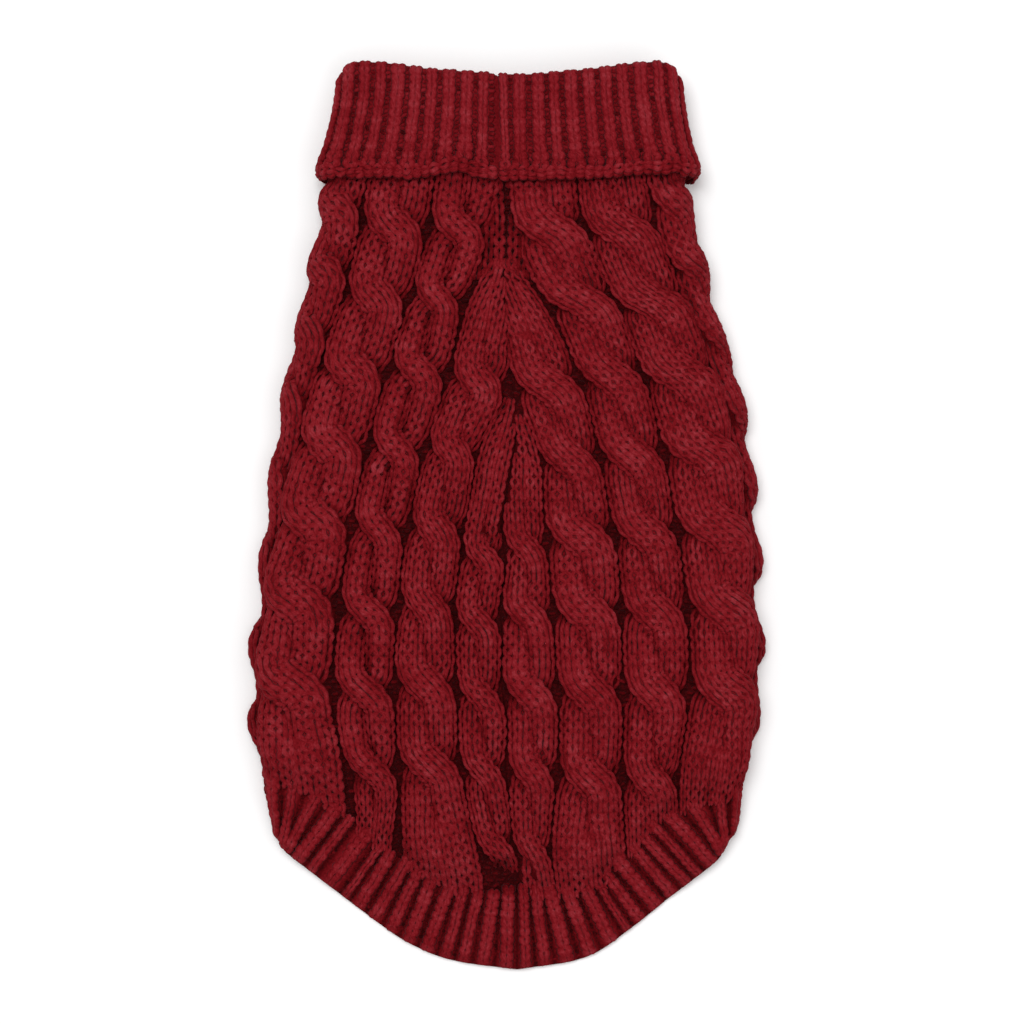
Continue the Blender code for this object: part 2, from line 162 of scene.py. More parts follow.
def surface(p, y, h, ref=REF, yarn=0.0):
    """The point (p, y, h) and the wall's outward normal. Underneath, h is held
    back so that what reaches yarn above the point stays over the floor."""
    p, y, h = np.broadcast_arrays(*(np.asarray(v, float) for v in (p, y, h)))
    left, right, radius, crown, under = section(y)
    side = np.where(p < 0, -1.0, 1.0)
    start = np.where(p < 0, -left, right)
    past = np.abs(p) - start
    angle = np.clip(past / (radius + ref), 0.0, math.pi)
    beyond = np.maximum(past - math.pi * (radius + ref), 0.0)
    flat = np.minimum(np.abs(p), start)
    share = np.clip(np.abs(p) / start, 0.0, 1.0)
    x = side * (flat + radius * np.sin(angle) - beyond)
    z = under + radius + radius * np.cos(angle) + crown * (1 - share**2) ** 2
    room = (z - 0.06) / np.maximum(-np.cos(angle), 1e-3) - yarn
    h = np.where(np.cos(angle) < -1e-3, np.minimum(h, room), h)
    tilt = np.where(past < 0, crown * 4 * share * (1 - share**2) / start, 0.0)
    nx, nz = side * (np.sin(angle) + tilt), np.cos(angle)
    size = np.hypot(nx, nz)
    nx, nz = nx / size, nz / size
    points = np.stack([x + nx * h, y, z + nz * h], -1)
    return points, np.stack([nx, np.zeros_like(nx), nz], -1)


def on_wall(p, y, h, k, ref=REF, yarn=YARN):
    """The point (p, y, h), and the normal k = (along p, along y, outward) there."""
    point, out = surface(p, y, h, ref, yarn)
    round_ = np.stack([out[..., 2], np.zeros_like(out[..., 0]), -out[..., 0]], -1)
    normal = (
        np.asarray(k[0])[..., None] * round_
        + np.asarray(k[1])[..., None] * np.array([0.0, 1.0, 0.0])
        + np.asarray(k[2])[..., None] * out
    )
    return point, normal / (np.linalg.norm(normal, axis=-1, keepdims=True) + 1e-9)


def x_to_p(x, y, h=2.5):
    """p of the place on the upper half of the garment that is seen at X from above."""
    _, _, radius, _, _ = section(y)
    start = fold_start(x, y)
    past = np.clip((np.abs(x) - start) / (radius + h), 0.0, 0.98)
    return np.where(x < 0, -1.0, 1.0) * (np.minimum(np.abs(x), start) + (radius + REF) * np.arcsin(past))


def half_girth(side, y, ref):
    """p at the middle of the belly."""
    _, _, radius, _, _ = section(y)
    return 2 * fold_start(side, y) + math.pi * (radius + ref)


def panel_end(side, y):
    """p of the seam between a back panel and the belly."""
    _, _, radius, _, _ = section(y)
    return side * (fold_start(side, y) + math.pi * (radius + REF) + WRAP)


def around(zone, at, y, side, ref):
    """p of a place named by its zone: X on the top, a share of the fold, or X below."""
    _, _, radius, _, _ = section(y)
    start = float(fold_start(side, y))
    if zone == "top":
        return at
    if zone == "fold":
        return side * (start + at * math.pi * (radius + ref))
    return side * (start + math.pi * (radius + ref) + (start - abs(at)))


# Where the body meets the hem, and where the hem ends.
HEM_LEFT = (
    # zone, join at, join y, edge at, edge y
    ("top", 3.7, -132.3, 3.7, -159.2),
    ("top", -12.8, -131.2, -19.0, -156.0),
    ("top", -25.7, -127.7, -34.2, -149.9),
    ("top", -35.5, -121.5, -46.5, -141.7),
    ("top", -47.3, -112.6, -60.5, -130.9),
    ("top", -57.2, -103.2, -71.5, -122.3),
    ("top", -63.8, -97.9, -76.6, -118.1),
    ("fold", -0.10, -93.4, 0.20, -116.0),
    ("fold", 0.26, -90.0, 0.50, -113.6),
    ("fold", 0.66, -88.2, 0.80, -112.0),
    ("under", -68.0, -85.5, -69.0, -109.0),
    ("under", -54.0, -77.5, -54.0, -101.5),
    ("under", -36.0, -68.5, -36.0, -94.0),
    ("under", -17.0, -63.5, -17.0, -89.5),
    ("under", 0.0, -62.3, 0.0, -88.3),
)
HEM_RIGHT = (
    ("top", 3.7, -132.3, 3.7, -159.2),
    ("top", 20.0, -131.5, 27.6, -155.0),
    ("top", 32.0, -127.0, 44.0, -144.3),
    ("top", 42.5, -118.0, 56.6, -134.3),
    ("top", 50.3, -109.2, 66.0, -126.9),
    ("top", 57.0, -104.0, 72.4, -121.7),
    ("top", 62.0, -101.0, 75.2, -118.9),
    ("fold", -0.12, -98.0, 0.20, -116.8),
    ("fold", 0.25, -95.2, 0.50, -113.8),
    ("fold", 0.66, -92.4, 0.80, -111.8),
    ("under", 66.0, -86.5, 67.0, -108.5),
    ("under", 52.0, -77.5, 52.0, -101.0),
    ("under", 35.0, -68.5, 35.0, -93.7),
    ("under", 16.0, -63.5, 16.0, -89.3),
    ("under", 0.0, -62.3, 0.0, -88.3),
)


def hem_rows(side, ref):
    rows = HEM_LEFT if side < 0 else HEM_RIGHT
    join = np.array([around(z, a, y, side, ref) for z, a, y, _, _ in rows], float)
    edge = np.array([around(z, a, y, side, ref) for z, _, _, a, y in rows], float)
    return join, np.array([r[2] for r in rows]), edge, np.array([r[4] for r in rows])


def make_join():
    lp, ly, _, _ = hem_rows(-1, REF)
    rp, ry, _, _ = hem_rows(1, REF)
    ps = np.concatenate([lp[::-1], rp[1:]])
    ys = np.concatenate([ly[::-1], ry[1:]])
    fine = np.linspace(ps[0], ps[-1], 1200)
    return fine, smooth(fine, ps, ys)


JOIN_P, JOIN_Y = make_join()


def join_y(p):
    return np.interp(p, JOIN_P, JOIN_Y)


# ------------------------------------------------- the cables' places on it
# Each line runs down the back between two columns of cables, or along the
# centre-back seam: rows of (x, y) on the plan's grid.
GUTTERS = {
    "A": ((372, 150), (369, 180), (364, 220), (356, 250), (350, 288), (338, 312), (331, 340), (326, 358),
          (312, 375), (309, 400), (304, 430), (298, 445), (288, 465), (285, 500), (270, 560), (262, 630),
          (258, 660), (256, 720), (262, 800), (270, 850)),
    "B": ((438, 150), (436, 180), (430, 230), (420, 270), (413, 293), (403, 320), (397, 345), (392, 367),
          (383, 390), (377, 410), (370, 445), (361, 480), (352, 527), (345, 570), (341, 603), (337, 640),
          (334, 688), (338, 725), (344, 760), (347, 785), (347, 810), (350, 860)),
    "C": ((503, 150), (502, 190), (495, 215), (490, 240), (486, 259), (477, 274), (469, 286), (462, 304), (457, 340),
          (450, 375), (441, 405), (428, 440), (423, 455), (418, 490), (407, 533), (401, 570), (401, 615),
          (393, 655), (398, 692), (395, 740), (403, 773), (400, 810), (402, 850), (408, 900)),
    "C1": ((507, 245), (498, 258), (490, 268), (482, 276), (476, 287), (469, 299), (463, 315), (459, 340),
           (452, 375), (441, 405), (428, 440), (423, 455), (418, 490), (407, 533), (401, 570), (401, 615),
           (393, 655), (398, 692), (395, 740), (403, 773), (400, 810), (402, 850), (408, 900)),
    "D": ((503, 150), (504, 262), (506, 285), (508, 310), (511, 345), (514, 378), (508, 398), (496, 415), (482, 438), (474, 460),
          (474, 490), (463, 533), (458, 585), (453, 615), (457, 660), (458, 692), (458, 745), (461, 768),
          (469, 810), (477, 850), (482, 865), (488, 920)),
    "E": ((503, 150), (505, 200), (508, 225), (505, 245), (507, 262), (503, 275), (502, 300), (508, 340),
          (512, 380), (517, 420), (514, 460), (505, 500), (500, 540), (511, 570), (497, 597), (504, 635),
          (500, 680), (510, 725), (505, 755), (509, 800), (512, 840), (519, 880), (521, 920)),
    "F": ((503, 150), (504, 262), (501, 300), (504, 335), (508, 372), (516, 395), (526, 418), (535, 440), (545, 467),
          (545, 475), (540, 510), (548, 542), (549, 580), (554, 618), (554, 655), (558, 692), (559, 750),
          (556, 786), (550, 840), (549, 855), (556, 885), (560, 920)),
    "G": ((507, 150), (508, 190), (510, 225), (515, 250), (520, 262), (526, 272), (533, 282), (541, 292), (549, 302), (556, 316),
          (569, 350), (583, 388), (592, 420), (596, 450), (602, 468), (607, 505), (612, 530), (619, 565), (620, 608),
          (621, 640), (622, 690), (622, 740), (621, 780), (624, 820), (625, 842), (630, 900)),
    "G1": ((498, 245), (506, 258), (514, 268), (522, 276), (530, 286), (538, 297), (547, 311), (556, 328), (566, 352),
           (582, 388), (592, 420), (596, 450), (602, 468), (607, 505), (612, 530), (619, 565), (620, 608),
           (621, 640), (622, 690), (622, 740), (621, 780), (624, 820), (625, 842), (630, 900)),
    "H": ((574, 150), (576, 182), (578, 222), (592, 248), (605, 286), (618, 308), (631, 345), (640, 372),
          (647, 388), (657, 430), (663, 455), (669, 495), (676, 526), (680, 560), (687, 610), (687, 645),
          (690, 688), (683, 735), (677, 770), (677, 790), (680, 850)),
    "I": ((640, 150), (644, 182), (652, 218), (665, 258), (679, 291), (688, 306), (700, 333), (708, 350),
          (717, 385), (727, 410), (737, 435), (740, 468), (746, 505), (753, 570), (755, 590), (757, 640),
          (757, 700), (752, 760), (742, 820)),
}
# the third column narrows on both sides before it meets the hem
GUTTERS["B2"] = tuple(r for r in GUTTERS["B"] if r[1] < 750) + (
    (343, 755), (348, 770), (354, 781), (358, 793), (357, 820), (353, 850), (351, 880))
GUTTERS["C2"] = tuple(r for r in GUTTERS["C"] if r[1] < 750) + (
    (401, 765), (401, 790), (395, 820), (391, 850), (391, 880))

# Each column of cables: its lines on the left and right, where it begins, and
# the heights at which its strands cross, on the same grid.
COLUMNS = {
    "L1": (None, "A", 150, (210, 271, 331, 396, 468, 548, 631, 713)),
    "L2": ("A", "B", 150, (229, 298, 371, 444, 520, 598, 683)),
    "L3": ("B2", "C2", 150, (232, 300, 372, 448, 528, 610, 688, 768)),
    "L4": ("C1", "D", 264, (382, 450, 528, 603, 682, 762)),
    "L5": ("D", "E", 404, (555, 620, 692, 768, 845)),
    "R0": ("E", "F", 416, (546, 612, 690, 770, 850)),
    "R1": ("F", "G1", 264, (385, 460, 535, 610, 690, 775)),
    "R2": ("G", "H", 150, (232, 302, 377, 455, 532, 610, 690, 778)),
    "R3": ("H", "I", 150, (232, 302, 375, 450, 527, 605, 688)),
    "R4": ("I", None, 150, (206, 266, 337, 415, 492, 571, 654, 732)),
}

ENDS = {"L5": (864, 0.34)}   # a column that tucks under before the hem: where, and its end's slope
OUTER = {"L4": -1, "L5": -1, "R0": 1, "R1": 1}   # the edge that the stitches of a widening column follow
EDGE_COLUMN = 21.5   # width of the outermost column of cables on each side
STRAND_SHARE = 0.57  # half the width of a cable strand, as a share of half its column
SHARES = {"L1": 0.63, "R4": 0.63, "L2": 0.56, "L3": 0.475, "L5": 0.54, "R3": 0.58}   # and of those that differ
PINCH_OVER = 0.88    # half its width along p where it crosses over the other, as the same share
PINCH_UNDER = 0.76   # and where it crosses under
STRAND = 7.8         # half its width, at most
ROUND = 0.35         # height of a strand's cross-section, as a share of half its column
TALL = 3.2           # the same, at most
CROSS = 2.1          # how far its strands' middles rise where they cross over
SINK = 1.3           # and how far they sink where they cross under
BED = 0.9            # height of a strand's middle above the middle of the wall
GUTTER_BED = 0.0     # height of the cloth in the gutters
GAP = 0.8            # half the width of a gutter where the columns are widest
FLAP_Y = 117.2       # the free edge of the collar's flap, about


def soften(values, sigma):
    reach = int(3 * sigma)
    k = np.exp(-0.5 * (np.arange(-reach, reach + 1) / sigma) ** 2)
    padded = np.concatenate([np.full(reach, values[0]), values, np.full(reach, values[-1])])
    return np.convolve(padded, k / k.sum(), "valid")


def gutter_p(name, sigma):
    """p of a gutter at each of FINE_Y."""
    pts = np.array(GUTTERS[name], float)
    order = np.argsort(-pts[:, 1])
    ys, xs = py(pts[order, 1]), px(pts[order, 0])
    x = soften(np.interp(FINE_Y, ys, xs), sigma)
    return x_to_p(x, FINE_Y)


SEAM_P = gutter_p("E", 8)


def fade(p, y):
    """How high the knitting stands at (p, y): less under the collar and at the hem."""
    neck = 0.22 + 0.78 * ease((FLAP_Y + 0.8 - y) / 7.0)
    return neck * (0.36 + 0.64 * ease((y - join_y(p) + 1.5) / 11.5))


# distance round a strand's oval cross-section, as a share of half its width
OVAL_ANGLE = np.linspace(0, math.pi / 2, 200)


def oval_table(ratio):
    run = np.hypot(np.cos(OVAL_ANGLE[1:]), ratio * np.sin(OVAL_ANGLE[1:])) * np.diff(OVAL_ANGLE)
    return np.concatenate([[0.0], np.cumsum(run)])


FLAT_OVAL, TALL_OVAL = oval_table(0.35), oval_table(0.75)


def oval_angle(run, ratio):
    """The angle at a distance round an oval whose height is ratio times half its width."""
    f = np.clip((ratio - 0.35) / 0.40, 0, 1)
    return (1 - f) * np.interp(run, FLAT_OVAL, OVAL_ANGLE) + f * np.interp(run, TALL_OVAL, OVAL_ANGLE)


def oval_quarter(ratio):
    f = np.clip((ratio - 0.35) / 0.40, 0, 1)
    return (1 - f) * FLAT_OVAL[-1] + f * TALL_OVAL[-1]


class Column:
    """A column of cables: everything about it at each of FINE_Y."""

    def __init__(self, name):
        left, right, begin, crossings = COLUMNS[name]
        self.name, self.side = name, -1 if name[0] == "L" else 1
        limit = panel_end(self.side, FINE_Y)
        self.left = gutter_p(left, 8 if left == "E" else 14) if left else None
        self.right = gutter_p(right, 8 if right == "E" else 14) if right else None
        if left is None:
            self.left = np.maximum(self.right - EDGE_COLUMN, limit + 1.0)
        if right is None:
            self.right = np.minimum(self.left + EDGE_COLUMN, limit - 1.0)
        self.middle = soften((self.left + self.right) / 2, 8)
        half = soften((self.right - self.left) / 2, 8)
        self.half = np.maximum(half - GAP * np.clip(half / 8, 0.2, 1), 0.5)
        self.begin = float(py(begin))
        rows = np.sort(py(np.array(crossings)))[::-1]          # from the neck down
        pitch = np.abs(np.diff(rows)).mean()
        knots = np.concatenate([[200.0, rows[0] + 0.5 * pitch], rows, [rows[-1] - 0.5 * pitch, -200.0]])
        turns = np.concatenate([[-0.5, -0.5], np.arange(len(rows)), [len(rows) - 0.5, len(rows) - 0.5]])
        self.phase = soften(np.interp(-FINE_Y, -knots, turns), 4) * math.pi
        cable = ease((rows[0] + 0.85 * pitch - FINE_Y) / (0.5 * pitch))
        if begin < 200:
            cable = np.ones_like(FINE_Y)
        last = ease((FINE_Y - (rows[-1] - 0.95 * pitch)) / (0.5 * pitch))
        self.cable = np.minimum(cable, last)                   # 1 where it is cabled, 0 where it is plain
        grow = 0.35 + 0.65 * ease((self.begin + 1.0 - FINE_Y) / 7.0)
        self.grow = grow if begin > 200 else np.ones_like(FINE_Y)
        end, self.slant = ENDS.get(name, (1000, 0.0))
        self.end = float(py(end))
        self.grow = self.grow * (0.14 + 0.86 * ease((FINE_Y - self.end + 1.5) / 6.5))


COLS = {name: Column(name) for name in COLUMNS}


class Strand:
    """One strand of a column. turn is 0 or 1: the two are half a turn apart."""

    def __init__(self, col, turn):
        self.col = col
        theta = col.phase + math.pi * turn
        width = col.half
        share = SHARES.get(col.name, STRAND_SHARE)
        swing = np.sin(theta + 0.50 * np.sin(2 * theta))
        self.p = col.middle + swing * width * (col.cable * (1 - share) + (1 - col.cable) * 0.5)
        rise = np.where(np.cos(theta) > 0, CROSS, SINK) * np.cos(theta)
        self.z = BED + rise * col.cable * np.clip(width / 8.5, 0, 1)
        slope = np.gradient(self.p, FINE_Y)
        size = np.hypot(1.0, slope)
        over = np.cos(theta) ** 2
        limit = np.where(np.cos(theta) > 0, PINCH_OVER, PINCH_UNDER) * over + 1.05 * (1 - over)
        hw = np.minimum(share * width, np.minimum(limit * width / size, STRAND))
        hw = soften(hw, 3)
        if col.slant:
            hw = hw * (1 + 0.22 * ease((col.end + 13.0 - FINE_Y) / 8.0))
        self.hw = col.cable * hw + (1 - col.cable) * 0.5 * width
        self.tall = np.minimum(ROUND * width, TALL)
        self.lp, self.ly = 1.0 / size, -slope / size           # across the strand, towards +p
        self.length = np.concatenate([[0.0], np.cumsum(np.hypot(np.diff(self.p), np.diff(FINE_Y)))])
        self.stop = col.end + 5.0 * turn

    def end_y(self, p, y):
        """The y at which the strand ends, at p."""
        return self.stop - self.col.slant * (p - np.interp(y, FINE_Y, self.col.middle))

    def at(self, s):
        y = np.interp(s, self.length, FINE_Y)
        return (y, *(np.interp(y, FINE_Y, v) for v in (self.p, self.z, self.lp, self.ly, self.hw, self.tall, self.col.cable)))

    def room(self, s):
        """The distance over the strand's skin from edge to edge."""
        hw, tall = self.at(s)[5:7]
        return 2 * oval_quarter(tall / hw) * hw

    def mound(self, p, y):
        """The height of the column's skin where it is plain: one low mound."""
        mid = np.interp(y, FINE_Y, self.col.middle)
        half = np.interp(y, FINE_Y, self.col.half)
        across = np.abs(p - mid) / (half + 0.3)
        low = np.clip(across, 0, 0.97)
        return BED * np.clip(half / 5, 0, 1) + np.minimum(4.0, 0.48 * half) * (1 - low**2.1) ** (1 / 2.1), across

    def skin(self, w, s):
        """(p, y, h) and normal of the strand's skin at w across it and s along it."""
        y, p, z, lp, ly, hw, tall, cable = self.at(s)
        phi = np.sign(w) * oval_angle(np.abs(w) / hw, tall / hw)
        dx, dz = hw * np.sin(phi), tall * np.cos(phi)
        kx, kz = tall * np.sin(phi), hw * np.cos(phi)
        size = np.hypot(kx, kz)
        kx, kz = kx / size, kz / size
        pc, yc = p + lp * dx, y + ly * dx
        h = cable * (z + dz) + (1 - cable) * self.mound(pc, yc)[0]
        kx = kx * (0.35 + 0.65 * cable)
        low = fade(pc, yc) * np.interp(yc, FINE_Y, self.col.grow)
        return pc, yc, h * low, (lp * kx, ly * kx, np.sqrt(np.maximum(1 - kx**2, 0.05)))

    def place(self, w, s):
        return on_wall(*self.skin(w, s))

    def crest(self, p, y):
        """The height of the strand's skin over (p, y), or very low where it isn't."""
        p, y = np.broadcast_arrays(np.asarray(p, float), np.asarray(y, float))
        foot = y
        for _ in range(3):
            f = lambda v: np.interp(foot, FINE_Y, v)
            mid, lp, ly = f(self.p), f(self.lp), f(self.ly)
            foot = foot + lp * np.clip((y - foot) * lp - (p - mid) * ly, -4, 4)
        f = lambda v: np.interp(foot, FINE_Y, v)
        d = (p - f(self.p)) * f(self.lp) + (y - foot) * f(self.ly)
        hw, z, cable = f(self.hw), f(self.z), f(self.col.cable)
        k = np.clip(1 - (d / hw) ** 2, 0, 1)
        strand = np.where(np.abs(d) < hw, z + f(self.tall) * np.sqrt(k), -9.0)
        mound, across = self.mound(p, y)
        mound = np.where(across < 1, mound, -9.0)
        h = np.where(strand > -5, cable * strand + (1 - cable) * mound, np.where(cable < 0.5, mound, -9.0))
        shows = (y < self.col.begin + 1.0) & (y > self.end_y(p, y) - 0.6) & (h > -5)
        return np.where(shows, h * fade(p, y) * np.interp(y, FINE_Y, self.col.grow), -9.0)


STRANDS = {name: (Strand(c, 0), Strand(c, 1)) for name, c in COLS.items()}


# ------------------------------------------------------------ mesh building
def mesh_object(name, points_mm, faces, material, tone):
    """faces is a list of integer arrays, each of one polygon size."""
    mesh = bpy.data.meshes.new(name)
    points = np.array(points_mm, np.float64).reshape(-1, 3)
    z = points[:, 2]                              # pressed flat on the floor, where it lies on it
    points[:, 2] = np.where(z < 0.35, 0.03 + 0.32 * np.exp((np.minimum(z, 0.35) - 0.35) / 0.32), z)
    points = (points * MM).astype(np.float32)
    mesh.vertices.add(len(points))
    mesh.vertices.foreach_set("co", points.ravel())
    sizes = np.concatenate([np.full(len(f), f.shape[1]) for f in faces])
    loops = np.concatenate([f.ravel() for f in faces]).astype(np.int32)
    mesh.loops.add(len(loops))
    mesh.loops.foreach_set("vertex_index", loops)
    mesh.polygons.add(len(sizes))
    starts = np.concatenate([[0], np.cumsum(sizes)[:-1]]).astype(np.int32)
    mesh.polygons.foreach_set("loop_start", starts)
    mesh.polygons.foreach_set("use_smooth", np.full(len(sizes), True))
    mesh.update(calc_edges=True)
    layer = mesh.color_attributes.new("tone", "FLOAT_COLOR", "POINT")
    rgba = np.ones((len(points), 4), np.float32)  # the tone, and the place along and across the yarn
    tone = np.asarray(tone, np.float32)
    rgba[:, :3] = tone if tone.ndim == 2 else np.broadcast_to(tone, len(points))[:, None]
    layer.data.foreach_set("color", rgba.ravel())
    mesh.validate()
    mesh.materials.append(material)
    obj = bpy.data.objects.new(name, mesh)
    bpy.context.scene.collection.objects.link(obj)
    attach(obj, "root")
    return obj


class Yarn:
    """Gathers yarn legs: each a closed spindle along a short line of points."""

    def __init__(self):
        self.points, self.faces, self.tones, self.count = [], [], [], 0

    def add(self, line, normal, wide, high, tone, sides=6):
        """line and normal are (legs, k, 3); wide and high are the half width and
        half height at the k points, 0 at both ends; tone is one number a leg."""
        legs, k, _ = line.shape
        if not legs:
            return
        ahead = np.empty_like(line)
        ahead[:, 1:-1] = line[:, 2:] - line[:, :-2]
        ahead[:, 0], ahead[:, -1] = line[:, 1] - line[:, 0], line[:, -1] - line[:, -2]
        ahead /= np.linalg.norm(ahead, axis=-1, keepdims=True) + 1e-9
        across = np.cross(ahead, normal)
        across /= np.linalg.norm(across, axis=-1, keepdims=True) + 1e-9
        up = np.cross(across, ahead)
        a = (np.arange(sides) + 0.5) * 2 * math.pi / sides
        wide, high = (np.broadcast_to(np.asarray(v, float), (legs, k)) for v in (wide, high))
        mid = slice(1, k - 1)
        ring = (
            line[:, mid, None]
            + across[:, mid, None] * (wide[:, mid, None] * np.cos(a))[..., None]
            + up[:, mid, None] * (high[:, mid, None] * np.sin(a))[..., None]
        )
        rings = k - 2
        size = rings * sides + 2
        pts = np.concatenate([ring.reshape(legs, -1, 3), line[:, :1], line[:, -1:]], 1)
        first = self.count + np.arange(legs)[:, None] * size
        quads, tips = [], []
        last = (rings - 1) * sides
        for j in range(sides):
            n = (j + 1) % sides
            for i in range(rings - 1):
                quads.append((i * sides + j, (i + 1) * sides + j, (i + 1) * sides + n, i * sides + n))
            tips.append((rings * sides, j, n))
            tips.append((rings * sides + 1, last + n, last + j))
        self.faces.append(((first[:, :, None] + np.array(quads)[None]).reshape(-1, 4),
                           (first[:, :, None] + np.array(tips)[None]).reshape(-1, 3)))
        self.points.append(pts.reshape(-1, 3))
        tone = np.repeat(np.broadcast_to(np.asarray(tone, float), legs), size)
        own = np.repeat(rng.uniform(0, 900, legs), size)
        at = np.tile(np.concatenate([np.repeat(np.arange(rings), sides), [0, rings]]), legs) * 0.8
        self.tones.append(np.stack([tone, at, own], -1))
        self.count += legs * size

    PROFILE = np.array([(1.0, -0.30), (0.62, 0.62), (0.0, 1.0), (-0.62, 0.62), (-1.0, -0.30)])

    def tube(self, line, normal, wide, high, tone, out=None, edge=0.0):
        """A long yarn with a rounded top and a flat back along the line of points.
        Its side that faces along out is darker by edge: painted shade that rounds it."""
        n, sides = len(line), len(self.PROFILE)
        ahead = np.empty_like(line)
        ahead[1:-1] = line[2:] - line[:-2]
        ahead[0], ahead[-1] = line[1] - line[0], line[-1] - line[-2]
        ahead /= np.linalg.norm(ahead, axis=-1, keepdims=True) + 1e-9
        across = np.cross(ahead, normal)
        across /= np.linalg.norm(across, axis=-1, keepdims=True) + 1e-9
        up = np.cross(across, ahead)
        size = np.ones(n)
        size[0] = size[-1] = 0.45
        ring = (line[:, None]
                + across[:, None] * (self.PROFILE[:, 0] * (wide * size)[:, None])[..., None]
                + up[:, None] * (self.PROFILE[:, 1] * (high * size)[:, None])[..., None])
        ends = np.stack([line[0] - ahead[0] * 0.3 - up[0] * 0.5 * high[0],
                         line[-1] + ahead[-1] * 0.3 - up[-1] * 0.5 * high[-1]])
        i, j = np.meshgrid(np.arange(n - 1), np.arange(sides), indexing="ij")
        k = (j + 1) % sides
        quads = np.stack([i * sides + j, (i + 1) * sides + j, (i + 1) * sides + k, i * sides + k], -1).reshape(-1, 4)
        j = np.arange(sides)
        k, e = (j + 1) % sides, (n - 1) * sides
        tips = np.concatenate([np.stack([np.full(sides, n * sides), j, k], -1),
                               np.stack([np.full(sides, n * sides + 1), e + k, e + j], -1)])
        self.faces.append((self.count + quads, self.count + tips))
        self.points.append(np.concatenate([ring.reshape(-1, 3), ends]))
        tone = np.broadcast_to(np.asarray(tone, float), n)
        tones = np.repeat(tone, sides)
        # painted shade on the side that faces along out
        if edge:
            faces_out = np.sign(np.einsum("ij,ij->i", across, out))
            tones = tones - edge * np.clip(faces_out[:, None] * self.PROFILE[:, 0], -0.2, 1).ravel()
        run = np.concatenate([[0.0], np.cumsum(np.linalg.norm(np.diff(line, axis=0), axis=1))])
        across = rng.uniform(0, 900) + self.PROFILE[:, 0] * 1.25
        # the two tips, sunk below the yarn, are painted darker as shade
        self.tones.append(np.stack([
            np.concatenate([tones, tone[[0, -1]] - 0.1]),
            np.concatenate([np.repeat(run, sides), run[[0, -1]]]),
            np.concatenate([np.tile(across, n), across[[2, 2]]])], -1))
        self.count += n * sides + 2

    def build(self, name, material, slot):
        quads = np.concatenate([q for q, _ in self.faces])
        tips = np.concatenate([t for _, t in self.faces])
        points = np.concatenate(self.points)
        obj = mesh_object(name, points, [quads, tips], material, np.concatenate(self.tones))
        a, b, c, d = (points[quads[:, i]] for i in range(4))
        inside = np.einsum("ij,ij->i", a, np.cross(b, c)) + np.einsum("ij,ij->i", a, np.cross(c, d))
        print(name, "triangles", 2 * len(quads) + len(tips), "volume", round(float(inside.sum()) / 6000, 2), "cm3")
        return obj


PER = 4                                      # places along each stitch of a rope
ZIG = np.array([-1.0, -0.25, 0.75, 0.60])     # how far a leg leans out there, as a share
RISE = np.array([-0.20, 0.04, 0.12, -0.06])   # how far it stands proud
PINCH = np.array([0.95, 1.03, 1.0, 0.97])     # its width, as a share
# SHADE is painted shade and light: a place's tone goes down where RISE sinks the leg and up where it stands proud
SHADE = np.array([-0.10, 0.02, 0.05, -0.02])  # its tone


def stretches(keep):
    """The first and last places of each unbroken stretch of True."""
    k = np.concatenate([[False], keep, [False]]).astype(int)
    d = np.diff(k)
    return zip(np.where(d == 1)[0], np.where(d == -1)[0])


def ropes(yarn, place, s, wale, middle=0.0, lean=0.27, swing=0.115, fat=0.30, high=YARN, tone=0.5, keep=None,
          loose=0.07, shade=0.07, spread=2, lift=0.0, bead=1.0, uneven=0.4, edge=0.0):
    """The two legs of a column of stitches, each one unbroken yarn that leans out and
    in. s are places along the column, PER to a stitch; middle is its distance from
    place's own line. keep says where the column shows, and bead how far one stitch
    stands apart from the next; uneven is how much they differ, and edge how much
    darker the column's two sides are than its middle, painted shade that rounds it.
    Through SHADE each stitch is also painted darker where its legs sink and lighter
    where they stand proud."""
    count = len(s)
    kind = np.arange(count) % PER
    row = np.arange(count) / PER
    wale, middle, lean, fat, high, tone, lift = (
        np.broadcast_to(np.asarray(v, float), count) for v in (wale, middle, lean, fat, high, tone, lift))
    each = rng.normal(size=(6, count // PER + 3))
    wander = [np.interp(row, np.arange(each.shape[1]) - 0.5, e) for e in each]
    swing = swing * (1 + 0.28 * uneven * wander[4])       # some stitches gape and some are closed
    fat = fat * (1 + 0.045 * uneven * wander[5])
    if keep is None:
        keep = np.ones(count, bool)
    for _ in range(spread):
        keep = keep | np.concatenate([keep[1:], [False]]) | np.concatenate([[False], keep[:-1]])
    legs = []
    for side in (-1.0, 1.0):
        w = middle + side * wale * (lean + swing * ZIG[kind]) + loose * wander[0]
        base, normal = place(w, s + loose * wander[1] * 0.6)
        rise = bead * RISE[kind] * np.clip(high, 0, 0.9) / 0.9 + lift + 0.5 * loose * wander[2 + (side > 0)]
        legs.append((base + normal * rise[:, None], normal))
    apart = legs[1][0] - legs[0][0]
    wide = fat * wale * (1 + bead * (PINCH[kind] - 1)) * (1 + 0.035 * wander[3])
    each_tone = tone + bead * SHADE[kind] + shade * wander[2]
    for (line, normal), out in zip(legs, (-apart, apart)):
        for a, b in stretches(keep):
            if b - a > 4:
                yarn.tube(line[a:b], normal[a:b], wide[a:b], high[a:b], each_tone[a:b], out[a:b], edge)


BAR_T = np.array([-1.0, -0.55, 0.55, 1.0])
BAR_W = np.array([0.0, 0.9, 0.9, 0.0])


